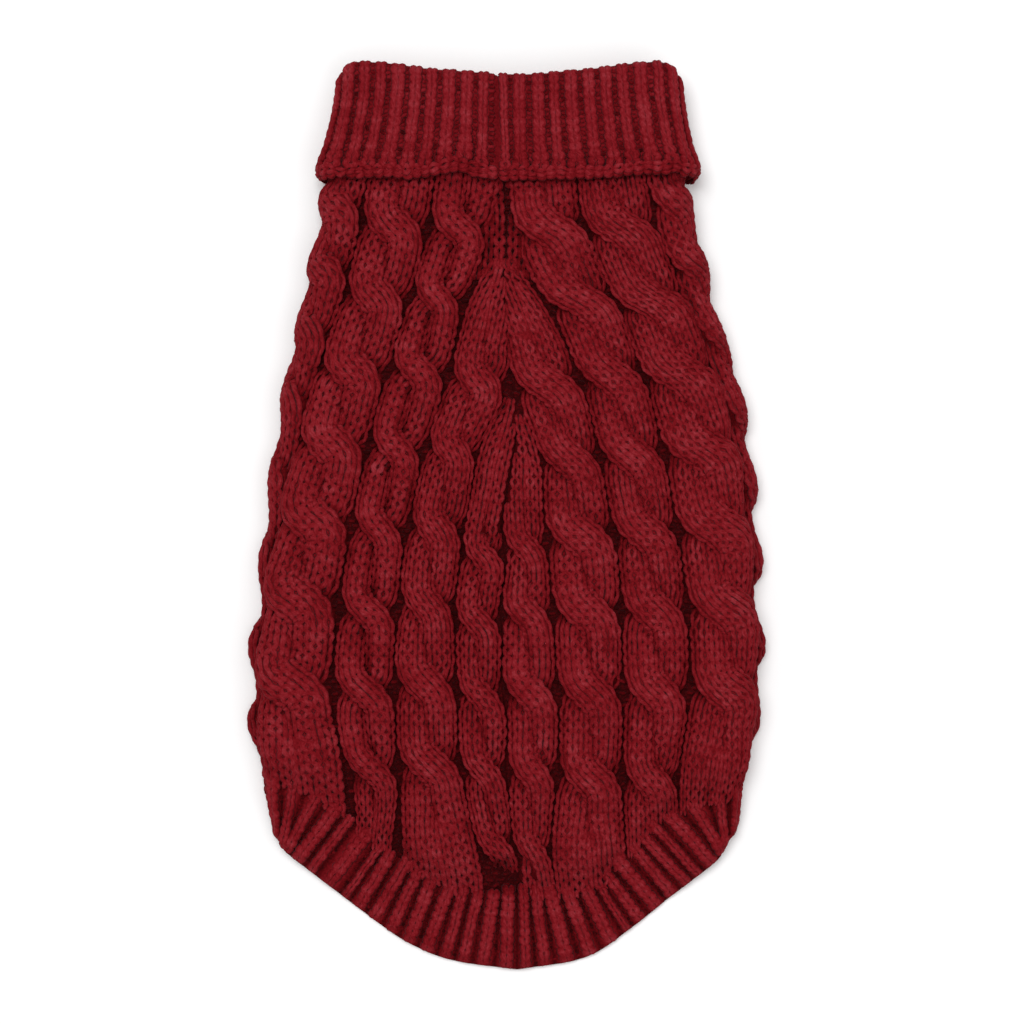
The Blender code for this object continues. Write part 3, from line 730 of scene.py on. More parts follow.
def bars(yarn, place, w, s, long, wide, high, tone, droop=0.5, turn=0.0):
    """Short yarns that lie across: the backs of stitches, seen in the gutters."""
    turn = np.broadcast_to(np.asarray(turn, float), len(w))[:, None]
    t = BAR_T[None] * np.asarray(long, float).reshape(-1, 1)
    base, normal = place(w[:, None] + t * np.cos(turn), s[:, None] + t * np.sin(turn))
    line = base - normal * (droop * BAR_T**2)[None, :, None]
    yarn.add(line, normal, wide * BAR_W, high * BAR_W, tone + 0.1 * rng.normal(size=len(w)), sides=5)


def grid_faces(rows, cols, closed=False):
    i, j = np.meshgrid(np.arange(rows - 1), np.arange(cols if closed else cols - 1), indexing="ij")
    k = (j + 1) % cols
    return np.stack([i * cols + j, i * cols + k, (i + 1) * cols + k, (i + 1) * cols + j], -1).reshape(-1, 4)


def wall_object(name, outer, inner, material, closed=False, tone_out=0.0, tone_in=0.7):
    """A closed wall between two grids of points of the same size. tone_out, the tone
    of its outside, is painted shade: darker than the yarn, for the slits and
    gutters seen between the stitches; tone_in is the tone of its inside.
    """
    rows, cols = outer.shape[:2]
    top = grid_faces(rows, cols, closed)
    shift = rows * cols
    faces = [top, top[:, ::-1] + shift]
    j = np.arange(cols if closed else cols - 1)
    k = (j + 1) % cols
    faces.append(np.stack([j, j + shift, k + shift, k], -1))
    e = (rows - 1) * cols
    faces.append(np.stack([e + j, e + k, e + k + shift, e + j + shift], -1))
    if not closed:
        i = np.arange(rows - 1)
        a, b = i * cols, (i + 1) * cols
        faces.append(np.stack([a, b, b + shift, a + shift], -1))
        a, b = a + cols - 1, b + cols - 1
        faces.append(np.stack([a, a + shift, b + shift, b], -1))
    f = np.concatenate(faces)
    points = np.concatenate([outer.reshape(-1, 3), inner.reshape(-1, 3)])
    a, b, c, d = (points[f[:, i]] for i in range(4))
    if (np.einsum("ij,ij->i", a, np.cross(b, c)) + np.einsum("ij,ij->i", a, np.cross(c, d))).sum() < 0:
        f = f[:, ::-1]
    tone = np.concatenate([np.broadcast_to(tone_out, (rows, cols)).ravel(), np.broadcast_to(tone_in, (rows, cols)).ravel()])
    print(name, "triangles", 2 * len(f))
    return mesh_object(name, points, [f], material, tone)


# ---------------------------------------------------------------- materials
def new_material(name):
    m = bpy.data.materials.new(name)
    m.use_nodes = True
    return m, m.node_tree, m.node_tree.nodes["Principled BSDF"]


def noise(nt, vector, scale, detail):
    n = nt.nodes.new("ShaderNodeTexNoise")
    n.inputs["Scale"].default_value = scale
    n.inputs["Detail"].default_value = detail
    nt.links.new(vector, n.inputs["Vector"])
    return n.outputs["Fac"]


def math_node(nt, operation, *values):
    n = nt.nodes.new("ShaderNodeMath")
    n.operation = operation
    for socket, v in zip(n.inputs, values):
        if isinstance(v, (int, float)):
            socket.default_value = v
        else:
            nt.links.new(v, socket)
    return n.outputs[0]


def yarn_material(name, stops, streaks=0.34, specks=0.30, bump=0.3):
    """Yarn whose colour runs through the stops, each (tone, red, green, blue), with
    its tone, with streaks of fibre along it and with fine specks."""
    m, nt, shader = new_material(name)
    add, link = nt.nodes.new, nt.links.new
    where = add("ShaderNodeTexCoord").outputs["Object"]
    tone = add("ShaderNodeAttribute")
    tone.attribute_name = "tone"
    parts = add("ShaderNodeSeparateColor")
    link(tone.outputs["Color"], parts.inputs["Color"])
    tone, along, across = (parts.outputs[k] for k in ("Red", "Green", "Blue"))
    place = add("ShaderNodeCombineXYZ")
    link(math_node(nt, "MULTIPLY", along, 0.55), place.inputs["X"])
    twist = math_node(nt, "MULTIPLY_ADD", along, 0.8, math_node(nt, "MULTIPLY", across, 2.2))
    link(twist, place.inputs["Y"])
    streak = noise(nt, place.outputs[0], 1.0, 2.0) if streaks else noise(nt, where, 700.0, 2.0)
    value = math_node(nt, "MULTIPLY_ADD", math_node(nt, "SUBTRACT", streak, 0.5), 2 * max(streaks, 0.1), tone)
    value = math_node(nt, "MULTIPLY_ADD", math_node(nt, "SUBTRACT", noise(nt, where, 1300.0, 3.0), 0.5), 2 * specks, value)
    value = math_node(nt, "MULTIPLY_ADD", math_node(nt, "SUBTRACT", noise(nt, where, 45.0, 2.0), 0.5), 0.13, value)
    ramp = add("ShaderNodeValToRGB")
    link(value, ramp.inputs["Fac"])
    bar = ramp.color_ramp.elements
    while len(bar) < len(stops):
        bar.new(0.5)
    for stop, (at, *rgb) in zip(bar, stops):
        stop.position, stop.color = at, (*rgb, 1)
    link(ramp.outputs["Color"], shader.inputs["Base Color"])
    shader.inputs["Roughness"].default_value = 0.8
    shader.inputs["Specular IOR Level"].default_value = 0.04
    shader.inputs["Sheen Weight"].default_value = 0.06
    shader.inputs["Sheen Roughness"].default_value = 0.45
    shader.inputs["Sheen Tint"].default_value = (0.9, 0.30, 0.34, 1)
    b = add("ShaderNodeBump")
    b.inputs["Strength"].default_value = bump
    b.inputs["Distance"].default_value = 0.0003
    link(math_node(nt, "ADD", noise(nt, where, 1700.0, 3.0), math_node(nt, "MULTIPLY", streak, 0.8)), b.inputs["Height"])
    link(b.outputs["Normal"], shader.inputs["Normal"])
    return m


# The colour ramp over the tone: near-black at 0 is painted shade for the hollows and gutters, and the paler, pinker
# reds at the top are a painted sheen highlight on the crests.
REDS = ((0.0, 0.024, 0.0004, 0.0008), (0.30, 0.092, 0.0013, 0.0028), (0.58, 0.165, 0.0050, 0.0085),
        (0.80, 0.211, 0.0122, 0.0176), (1.0, 0.258, 0.0262, 0.0345))
YARN_RED = yarn_material("dark_red_yarn", REDS)
CLOTH_RED = yarn_material("yarn_in_shade", REDS, streaks=0.0)


# ------------------------------------------------------------ back panels
def names_of(side):
    return [n for n in COLUMNS if (n[0] == "L") == (side < 0)]


def cable_yarn(side):
    """The stitches of every strand on one back panel, split into two pieces of yarn."""
    yarns = (Yarn(), Yarn())
    names = names_of(side)
    outer_names = names[:2] if side < 0 else names[-2:]
    for name in names:
        col = COLS[name]
        yarn = yarns[0] if name in outer_names else yarns[1]
        for turn, strand in enumerate(STRANDS[name]):
            s = np.arange(0.0, strand.length[-1], COURSE / PER) + turn * COURSE * 0.4
            room = strand.room(s) * 0.97
            shows = (strand.at(s)[0] < min(NECK_Y, col.begin)) & (strand.at(s)[0] > -132)
            many = int(np.clip(round(float(np.median(room[shows])) / WALE), 2, 5))
            outer = OUTER.get(name, 0)
            wale = np.clip(room / many, 3.1 if outer else 2.0 if name == "L3" else 2.7, 4.3)
            for k in range(many):
                middle = outer * (room / 2 - (k + 0.5) * wale) if outer else (k - (many - 1) / 2) * wale
                cp, cy, ch, _ = strand.skin(middle, s)
                keep = (cy < min(NECK_Y - 2.5, col.begin)) & (cy > join_y(cp) - 0.9 + 0.9 * rng.normal())
                keep &= STRANDS[name][1 - turn].crest(cp, cy) < ch + 0.3
                keep &= np.abs(cp) < np.abs(panel_end(side, cy)) - 1.6
                keep &= np.abs(middle) < room / 2 - 0.22 * wale
                keep &= cy > strand.end_y(cp, cy)
                # painted light and shade in the stitch's tone: lighter the higher it stands (ch), darker the deeper it
                # lies among the strands round it (hollow)
                deep = hollow(cp, cy, ch, side)
                crest = np.clip(1.3 - np.abs(middle) / (0.5 * room), 0, 1) * np.clip((ch - 1.5) / 4, 0, 1)
                tone = 0.645 + 0.011 * ch - 0.85 * deep
                # painted shade where the strand tucks under before the hem
                if col.slant:
                    tone = tone - 0.22 * (1 - ease((cy - strand.end_y(cp, cy)) / 5.0))
                ropes(yarn, strand.place, s, wale, middle, swing=0.105, fat=0.250 + 0.050 * crest, high=0.80,
                      tone=tone, keep=keep, uneven=1.7, loose=0.11)
    # the knitting beside the centre-back seam, above the columns that begin there
    rows = np.arange(float(py(282)), float(py(176)), COURSE / PER)
    for k in range(3):
        p = np.interp(rows, FINE_Y, SEAM_P) + side * (2.35 + 3.5 * k)
        low = 1.0 * fade(p, rows)
        keep = envelope(p, rows, side) < low - 0.2
        flat = lambda w, s: on_wall(w, s, 1.0 * fade(w, s), (np.zeros_like(w), 0.0 * w, np.ones_like(w)))
        # painted shade: the tone is darker the deeper the stitch lies (hollow)
        ropes(yarns[1], flat, rows, 3.5, p, fat=0.285, high=0.80, tone=0.52 - 0.85 * hollow(p, rows, low, side), keep=keep,
              uneven=1.2)
    # plain stitches between the last column and the belly seam, pressed flat
    col = COLS["L1" if side < 0 else "R4"]
    edge = np.abs(col.left if side < 0 else col.right)
    rows = np.arange(-125.0, NECK_Y - 3, COURSE / PER)
    for k in range(5):
        p = np.abs(panel_end(side, rows)) - 2.0 - WALE * k
        past = p - np.interp(rows, FINE_Y, edge)
        bare = (envelope(side * p, rows, side) < 0.5) & (past > -3.0)
        keep = ((past > 0.6) | bare) & (rows > join_y(side * p) + 2.0)
        flat = lambda w, s: on_wall(w, s, np.full_like(w, 0.9), (np.zeros_like(w), 0.0 * w, np.ones_like(w)))
        # painted shade: darker the deeper the stitch lies (hollow)
        tone = 0.56 - 0.85 * hollow(side * p, rows, np.full_like(p, 0.9), side)
        ropes(yarns[0], flat, rows, WALE, side * p, high=0.80, tone=tone, keep=keep, spread=0)
    return yarns


def envelope(p, y, side):
    """The height of the cloth under the yarn at (p, y)."""
    h = np.full(np.broadcast(p, y).shape, GUTTER_BED)
    for n in names_of(side):
        for s in STRANDS[n]:
            h = np.maximum(h, s.crest(p, y) - 0.6)
    return h


def hollow(p, y, h, side):
    """How deep the place (p, y, h) lies among what stands round it, from 0 up; the
    stitches' tone is darkened by it as painted shade in the hollows.
    """
    total = 0.0
    for r in (2.0, 4.2):
        for a in np.arange(8) * math.pi / 4:
            total = total + np.clip((envelope(p + r * math.cos(a), y + r * math.sin(a), side) + 0.3 - h) / r, 0, 1.3)
    return total / 16


def gutter_yarn(side, yarn):
    """Backs of stitches in the gutters between the columns, painted dark as the
    gutters' shade.
    """
    names = ("A", "B", "C", "D", "E") if side < 0 else ("E", "F", "G", "H", "I")
    lines = [SEAM_P if name == "E" else gutter_p(name, 14) for name in names]
    for i, (name, line) in enumerate(zip(names, lines)):
        rows = np.arange(-134.0, FLAP_Y - 3, COURSE * 0.52)
        for j, off in enumerate(np.arange(-4, 5) * 2.1):
            if name == "E" and off * side <= 0:
                continue
            y = rows[j % 2::2]
            p = np.interp(y, FINE_Y, line) + off
            keep = (y > join_y(p) + 1.0) & (envelope(p, y, side) < GUTTER_BED + 1.0)
            keep &= np.abs(p) < np.abs(panel_end(side, y)) - 3.0
            for k, other in enumerate(lines):               # each place belongs to the line nearest to it
                if k != i:
                    keep &= np.abs(p - np.interp(y, FINE_Y, other)) > abs(off) + (0.9 if k < i else -0.9)
            flat = lambda w, s: on_wall(w, s, np.full_like(w, GUTTER_BED + 0.35), (0.0, 0.0, 1.0))
            count = int(keep.sum())
            bars(yarn, flat, p[keep] + 0.2 * rng.normal(size=count), y[keep] + 0.2 * rng.normal(size=count),
                 np.full(count, 1.5), 0.75, 0.6, 0.10, turn=0.25 * rng.normal(size=count))


def back_panel(side):
    tag = "left" if side < 0 else "right"
    rows, cols = 220, 130
    v = np.arange(rows) / (rows - 1)
    f = np.arange(cols) / (cols - 1)
    end = np.full(cols, -100.0)
    for _ in range(14):
        a = np.interp(end, FINE_Y, SEAM_P) - side * 0.3
        b = panel_end(side, end) - side * 0.2
        end = join_y(a + (b - a) * f) - 0.3
    y = NECK_Y - 0.2 + (end[None] - NECK_Y + 0.2) * v[:, None]
    a = np.interp(y, FINE_Y, SEAM_P) - side * 0.3
    b = panel_end(side, y) - side * 0.2
    p = a + (b - a) * f[None]
    h = envelope(p, y, side) - (0.12 if side < 0 else 0.0)
    h = h + 0.48 * ease((h - 1.6) / 2.4)                    # shallower slits on the crests
    outer = surface(p, y, h, yarn=0.9)[0]
    inner = surface(p, y, np.minimum(-1.5, h - 1.0))[0]
    # painted shade on the cloth's outside: darker the lower it lies, nearly black in the gutters
    cloth = wall_object(f"cloth_back_{tag}", outer, inner, CLOTH_RED, tone_out=0.03 + 0.45 * ease((h - GUTTER_BED + 0.3) / 4.2))
    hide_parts(f"back_{tag}")
    yarns = cable_yarn(side)
    parts = [yarns[0].build(f"yarn_back_{tag}_outer", YARN_RED, "knit"),
             yarns[1].build(f"yarn_back_{tag}_inner", YARN_RED, "knit")]
    purl = Yarn()
    gutter_yarn(side, purl)
    parts.append(purl.build(f"gutters_back_{tag}", CLOTH_RED, "knit"))
    return cloth, parts


# ----------------------------------------------------------------- collar
# Where the collar folds over and where its turned-down flap ends.
SEAM_X = -2.8
COLLAR_LEFT = (
    # zone, at, fold y, flap y
    ("top", -2.8, 154.0, 116.8), ("top", -7.5, 154.3, 117.5), ("top", -13.0, 154.8, 119.4),
    ("top", -19.0, 155.2, 119.2), ("top", -26.0, 155.7, 117.7), ("top", -37.0, 157.1, 117.6),
    ("top", -47.0, 158.0, 117.6), ("fold", 0.08, 158.1, 117.6), ("fold", 0.20, 157.4, 117.4),
    ("fold", 0.32, 155.8, 117.2), ("fold", 0.50, 152.4, 117.0), ("fold", 0.75, 154.6, 117.0),
    ("fold", 1.0, 156.6, 117.2), ("under", -40.0, 156.6, 117.2), ("under", -24.0, 155.4, 117.2),
    ("under", 0.0, 154.0, 117.2),
)
COLLAR_RIGHT = (
    ("top", -2.8, 154.0, 116.8), ("top", 4.7, 153.7, 116.8), ("top", 11.7, 154.0, 116.7),
    ("top", 18.7, 154.7, 116.9), ("top", 32.7, 156.1, 117.6), ("top", 40.0, 157.2, 118.4),
    ("top", 48.0, 157.9, 118.9), ("fold", 0.08, 158.2, 118.9), ("fold", 0.20, 157.4, 118.5),
    ("fold", 0.32, 155.8, 118.0), ("fold", 0.50, 152.4, 117.2), ("fold", 0.75, 154.6, 117.0),
    ("fold", 1.0, 156.6, 117.2), ("under", 40.0, 156.6, 117.2), ("under", 24.0, 155.4, 117.2),
    ("under", 0.0, 154.0, 117.2),
)
RIBS_LEFT, RIBS_RIGHT = 22, 23
BAND = 6.6           # depth of the cast-off band at the flap's free edge
OUT_H, IN_H = 4.2, -1.2   # yarn's height on the flap's outside and on the stand's inside
TURN_H, TURN_R = (OUT_H + IN_H) / 2, (OUT_H - IN_H) / 2


def collar_tables(side):
    """The rows' v, from 0 at the seam to 1 at the middle of the belly side, with
    their fold y and flap y."""
    rows = COLLAR_LEFT if side < 0 else COLLAR_RIGHT
    girth = float(half_girth(side, 150.0, COLLAR_REF)) - side * SEAM_X
    v = [abs(around(z, a, 150.0, side, COLLAR_REF) - SEAM_X) / girth for z, a, _, _ in rows]
    return np.array(v), np.array([r[2] for r in rows]), np.array([r[3] for r in rows])


COLLAR_V = {side: collar_tables(side) for side in (-1, 1)}


def collar_shape(side, v):
    vs, fold, flap = COLLAR_V[side]
    fold_y, flap_y = smooth(v, vs, fold), smooth(v, vs, flap)
    turn_y = fold_y - TURN_R - YARN
    return flap_y, turn_y, turn_y - flap_y, math.pi * TURN_R, turn_y - (NECK_Y + 1.0)


def collar_place(side, v, w, s, low=0.0):
    """v is the place round the collar and w a distance from there; s runs from the
    flap's free edge up its outside, over the fold and down the inside; low is a
    distance under the yarn. Returns the point and its normal."""
    v, w, s, low = np.broadcast_arrays(*(np.asarray(x, float) for x in (v, w, s, low)))
    flap_y, turn_y, up, turn, down = collar_shape(side, v + side * w / 165.0)
    arc = np.clip((s - up) / TURN_R, 0, math.pi)
    radius = TURN_R - low
    y = np.where(s < up, flap_y + s, np.where(s < up + turn, turn_y + radius * np.sin(arc), turn_y - (s - up - turn)))
    h = TURN_H + radius * np.cos(arc)
    girth = half_girth(side, y, COLLAR_REF) - side * SEAM_X
    p = SEAM_X + side * v * girth + w
    top = ease(0.5 + 0.8 * np.cos(fold_angle(p, y, COLLAR_REF)))
    h = h + top * 1.2 * ease((7.0 - s) / 7.0) * (0.75 + 0.25 * np.sin(p * 0.29 + 1.0))
    h = h + top * 0.35 * np.sin(p * 0.11 + 0.6) * np.sin(y * 0.13)
    base, out = surface(p, y, h, COLLAR_REF)
    along = np.array([0.0, 1.0, 0.0])
    return base, np.cos(arc)[..., None] * out + np.sin(arc)[..., None] * along


def fold_share(s, up, turn):
    """1 along the collar's upper fold, where its ribs are pulled flat, and 0 away from it."""
    return ease((s - up + 0.8) / 4.2) * (1 - ease((s - up - turn + 1.0) / 4.5))


def rib_places(count, jitter):
    """Middles of the ribs of one side, as shares; the first is a half rib at the seam."""
    edges = np.arange(count + 1) + np.concatenate([[0.0], jitter * rng.normal(size=count - 1), [0.0]])
    mid = (edges[1:] + edges[:-1]) / 2
    return mid / count, (edges[1:] - edges[:-1]) / count, edges / count


def collar():
    yarn, band = Yarn(), Yarn()
    outer, inner, tones = [], [], []
    for side, count in ((1, RIBS_RIGHT), (-1, RIBS_LEFT)):
        # a narrow rib beside the seam, then the others
        narrow = 0.42 if side < 0 else 0.76
        mids, sizes, edges = rib_places(count, 0.055)
        scale = lambda t: np.where(t * count < 1, t * narrow, (t * count - (1 - narrow)) / count) / (1 - (1 - narrow) / count)
        edges = scale(edges)
        mids, sizes = (edges[1:] + edges[:-1]) / 2, edges[1:] - edges[:-1]
        girth = float(half_girth(side, 135.0, COLLAR_REF)) - side * SEAM_X
        _, _, up, turn, down = collar_shape(side, mids)
        for k in range(count):
            wide_rib = sizes[k] * girth
            end = up[k] + turn + min(down[k] - 2.0, 16.0)
            s = np.arange(2.7, end, RIB_COURSE / PER) + 0.3 * rng.normal()
            wale = 1.05 * RIB_WALE * np.clip(wide_rib / 6.1, 0.45, 1.15)
            # near the cast-off its legs spread over the grooves beside it
            open_ = (1 - ease((s - BAND + 1.6 + 0.8 * rng.normal()) / 4.0)) * (wide_rib > 4)
            fold = fold_share(s, up[k], turn)
            if k == 0:                                       # the seam lies in a groove, with a rib on its right
                place = lambda ww, ss: collar_place(side, mids[0], ww + 0.35 * np.sin(ss * 0.12 + 0.6), ss)
            else:
                place = lambda ww, ss: collar_place(side, mids[k], ww, ss)
            if k > 0 or side > 0:
                # edge paints shade on the rib's two sides so that it reads round
                ropes(yarn, place, s, wale, lean=0.210 + 0.11 * open_, swing=0.050 + 0.05 * open_, fat=0.280 + 0.04 * open_,
                      high=np.minimum(0.95, wale * 0.29) * (1 - 0.3 * fold), lift=-0.28 * fold - 0.1,
                      tone=0.705 - 0.12 * open_, loose=0.10, shade=0.06, bead=0.5, edge=0.22, uneven=1.2)
            # backs of stitches in the groove after it, painted darker than the ribs as the groove's shade
            if k < count - 1:
                place = lambda ww, ss: collar_place(side, edges[k + 1], ww, ss, low=0.50)
                s = np.arange(BAND - 0.8, end, RIB_COURSE / 2)
                bars(yarn, place, 0.2 * rng.normal(size=len(s)), s, np.full(len(s), 1.7), 0.80, 0.34, 0.40, droop=0.25,
                     turn=0.35 * rng.normal(size=len(s)))
        # cast-off: loops that lie along the free edge, and a rolled edge under them
        total = float(half_girth(side, 119.0, COLLAR_REF)) - side * SEAM_X
        place = lambda ww, ss: collar_place(side, ss / total, 0.0, ww)
        run = np.arange(0.3, total - 0.2, 3.3 / PER)
        ropes(band, place, run, 3.3, 1.95, lean=0.24, swing=0.15, fat=0.31, high=0.9, tone=0.57, loose=0.38,
              shade=0.12, lift=-0.15, uneven=1.6, bead=1.8)
        ropes(band, place, run, 2.6, 0.5, lean=0.24, swing=0.12, fat=0.38, high=0.85, tone=0.48, loose=0.30, lift=-0.6,
              uneven=1.5, bead=1.8)
        # the cloth under the yarn: grooves low, ribs high, and painted shade that makes the grooves and the seam
        # darker than the ribs
        cells = []
        for k in range(count):
            a, b = edges[k], edges[k + 1]
            rib = 1.0 if k == 0 and side < 0 else -0.1
            cells += [(a, 1.5 if k == 0 else 0.85), (a + (b - a) * 0.28, rib), (a + (b - a) * 0.72, rib)]
        if side > 0:
            cells.append((1.0, 0.85))
        vv = np.array([c[0] for c in cells])
        low = np.array([c[1] for c in cells])
        dark = (low > 0)[None]
        _, _, up, turn, down = collar_shape(side, vv)
        share = np.concatenate([np.linspace(0, 1, 15), 1 + np.linspace(0, 1, 9)[1:], 2 + np.linspace(0, 1, 12)[1:]])
        s = np.where(share[:, None] <= 1, share[:, None] * up[None],
                     np.where(share[:, None] <= 2, up[None] + (share[:, None] - 1) * turn,
                              up[None] + turn + (share[:, None] - 2) * down[None]))
        band_share = 1 - ease((s - 3.0) / 3.6)
        lows = low[None] * (1 - band_share) + 0.5 * band_share
        lows = lows * (1 - 0.45 * fold_share(s, up[None], turn)) + 0.25 * fold_share(s, up[None], turn)
        a = collar_place(side, vv[None], 0.0, s, lows)[0]
        b = collar_place(side, vv[None], 0.0, s, 2.45)[0]
        tone = np.where(dark, 0.40, 0.56) + 0.0 * lows
        if side < 0:
            a, b, tone = a[:, ::-1], b[:, ::-1], tone[:, ::-1]
        outer.append(a)
        inner.append(b)
        tones.append(tone)
    outer = np.concatenate(outer, 1)[:, :-1]
    inner = np.concatenate(inner, 1)[:, :-1]
    tones = np.concatenate(tones, 1)[:, :-1]
    cloth = wall_object("cloth_collar", outer, inner, CLOTH_RED, closed=True, tone_out=tones, tone_in=0.5)
    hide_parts("collar")
    return cloth, [yarn.build("yarn_collar", YARN_RED, "rib"), band.build("band_collar", YARN_RED, "rib")]


# -------------------------------------------------------------------- hem
class HemSide:
    """One side of the hem, from the centre-back seam to the middle of the belly."""

    def __init__(self, side):
        self.side = side
        rows = hem_rows(side, HEM_REF)
        t = np.arange(len(rows[0]), dtype=float)
        self.t = np.linspace(0, t[-1], 900)
        self.line = [smooth(self.t, t, v) for v in rows]
        mid = surface((self.line[0] + self.line[2]) / 2, (self.line[1] + self.line[3]) / 2, np.full(900, HEM_REF), HEM_REF)[0]
        self.run = np.concatenate([[0.0], np.cumsum(np.linalg.norm(np.diff(mid, axis=0), axis=1))])

    def at(self, m):
        """The join's and the edge's place and the hem's depth at the distances m round it."""
        jp, jy, ep, ey = (np.interp(m, self.run, v) for v in self.line)
        return jp, jy, ep, ey, np.hypot(ep - jp, ey - jy)

    def place(self, m, w, s, low=0.0, lift=1.25):
        """s is the distance from the join, w the distance from the line at m."""
        m, w, s, low = np.broadcast_arrays(*(np.asarray(x, float) for x in (m, w, s, low)))
        jp, jy, ep, ey, depth = self.at(m)
        dp, dy = (ep - jp) / depth, (ey - jy) / depth
        p, y = jp + dp * s - dy * w * self.side * -1, jy + dy * s + dp * w * self.side * -1
        roll = ease((s - (depth - 2.6)) / 2.6)
        puff = 0.25 * np.sin(m * 0.21 + 0.7) + 0.15 * np.sin(m * 0.57)
        h = lift + puff * ease(s / 8) - 1.15 * roll - low * (1 - 0.75 * roll)
        return on_wall(p, y, h, (dp * roll * 0.8, dy * roll * 0.8, 1 - 0.2 * roll), HEM_REF, YARN - low)


def hem():
    yarn = Yarn()
    outer, inner, tones = [], [], []
    for side in (1, -1):
        h = HemSide(side)
        total = h.run[-1]
        count = int(round(total / 6.35))
        edges = (np.arange(count + 1) + np.concatenate([[0.0], 0.12 * rng.normal(size=count - 1), [0.0]])) * total / count
        mids, sizes = (edges[1:] + edges[:-1]) / 2, edges[1:] - edges[:-1]
        depth = h.at(mids)[4]
        for k in range(count):
            pit = ease(1.6 - abs(h.at(mids[k])[0] + 4.0) / 8.0)   # the hollow above the middle of the hem
            s = np.arange(depth[k] + 0.7, min(-1.6 + 1.8 * rng.normal(), -1.1), -RIB_COURSE / PER)
            wale = 1.07 * RIB_WALE * np.clip(sizes[k] / 6.3, 0.65, 1.15)
            roll = ease((s - depth[k] + 3.2) / 3.2)
            tilt = 0.028 * rng.normal()
            place = lambda ww, ss: h.place(mids[k], ww + tilt * (ss - 0.6 * depth[k]), ss)
            # painted shade: each rib darkens towards its top under the cables, more in the hollow above the middle of
            # the hem, and edge paints shade on its sides
            ropes(yarn, place, s, wale, lean=0.210, swing=0.050, fat=0.278, high=0.93 * (1 - 0.2 * roll), lift=-0.25 * roll,
                  tone=0.685 - (0.12 + 0.18 * pit) * ease((2.0 + pit - s) / 4.5), loose=0.12, shade=0.07, bead=0.45, edge=0.27, uneven=1.2)
            # backs of stitches in the groove after it, painted dark as the groove's shade
            if k < count - 1:
                d = h.at(edges[k + 1])[4]
                s = np.arange(d - 1.0, 0.5, -RIB_COURSE / 2)
                s = s[rng.uniform(size=len(s)) > 0.25]
                place = lambda ww, ss: h.place(edges[k + 1], ww, ss, low=1.15)
                bars(yarn, place, 0.35 * rng.normal(size=len(s)), s + 0.25 * rng.normal(size=len(s)), np.full(len(s), 1.1),
                     0.68, 0.45, 0.11, turn=0.4 * rng.normal(size=len(s)))
        at, low = [], []
        for k in range(count):
            a, b = edges[k], edges[k + 1]
            at += [a, a + (b - a) * 0.28, a + (b - a) * 0.72]
            low += [1.5, 0.0, 0.0]
        if side > 0:
            at.append(total)
            low.append(1.5)
        at, low = np.array(at), np.array(low)
        s = np.linspace(0.0, 1.0, 18)[:, None] * (h.at(at)[4] + 0.6)[None]
        a = h.place(at[None], 0.0, s, low[None])[0]
        jp, jy, ep, ey, d = h.at(at)
        p, y = jp + (ep - jp) * s / d, jy + (ey - jy) * s / d
        b = surface(p, y, -1.52 + 0.0 * s, HEM_REF)[0]
        # painted shade: the cloth in the grooves is nearly black, under the ribs lighter
        tone = np.where(low > 1, 0.09, 0.55)[None] + 0.0 * s
        if side < 0:
            a, b, tone = a[:, ::-1], b[:, ::-1], tone[:, ::-1]
        outer.append(a)
        inner.append(b)
        tones.append(tone)
    outer = np.concatenate(outer, 1)[:, :-1]
    inner = np.concatenate(inner, 1)[:, :-1]
    tones = np.concatenate(tones, 1)[:, :-1]
    cloth = wall_object("cloth_hem", outer, inner, CLOTH_RED, closed=True, tone_out=tones, tone_in=0.7)
    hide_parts("hem")
    return cloth, [yarn.build("yarn_hem", YARN_RED, "rib")]


# ------------------------------------------------------------------- belly
BELLY_RIBS = 24


def belly_width(side, y):
    return fold_start(side, y) - WRAP - 0.3


def belly_place(v, w, y, low=0.0):
    """v runs from -1 at the left seam to 1 at the right; low is a height over the yarn."""
    v, w, y, low = np.broadcast_arrays(*(np.asarray(x, float) for x in (v, w, y, low)))
    x = v * np.where(v < 0, belly_width(-1, y), belly_width(1, y)) + w
    under = section(y)[4]
    slope = (section(y + 0.5)[4] - section(y - 0.5)[4])
    z = under - 0.64 + low
    normal = np.stack([np.zeros_like(x), slope, -np.ones_like(x)], -1)
    return np.stack([x, y, z], -1), normal / np.linalg.norm(normal, axis=-1, keepdims=True)


def belly_end(v):
    """y of the join between the belly and the hem at v."""
    y = np.full(np.shape(v), -70.0)
    for _ in range(14):
        side = np.where(v < 0, -1.0, 1.0)
        x = np.abs(v) * np.where(v < 0, belly_width(-1, y), belly_width(1, y))
        y = join_y(side * (half_girth(side, y, REF) - x)) + 0.4
    return y


def cutter(name, x, radius, low, high, turns=56):
    """A round bar, for cutting an opening."""
    a = np.arange(turns) * 2 * math.pi / turns
    ring = np.stack([x + radius * np.cos(a), LEG_Y + radius * np.sin(a)], -1)
    points = np.concatenate([np.c_[ring, np.full(turns, low)], np.c_[ring, np.full(turns, high)]])
    mesh = bpy.data.meshes.new(name)
    side = [(i, (i + 1) % turns, turns + (i + 1) % turns, turns + i) for i in range(turns)]
    mesh.from_pydata(points * MM, [], side + [tuple(range(turns))[::-1], tuple(range(turns, 2 * turns))])
    obj = bpy.data.objects.new(name, mesh)
    bpy.context.scene.collection.objects.link(obj)
    return obj


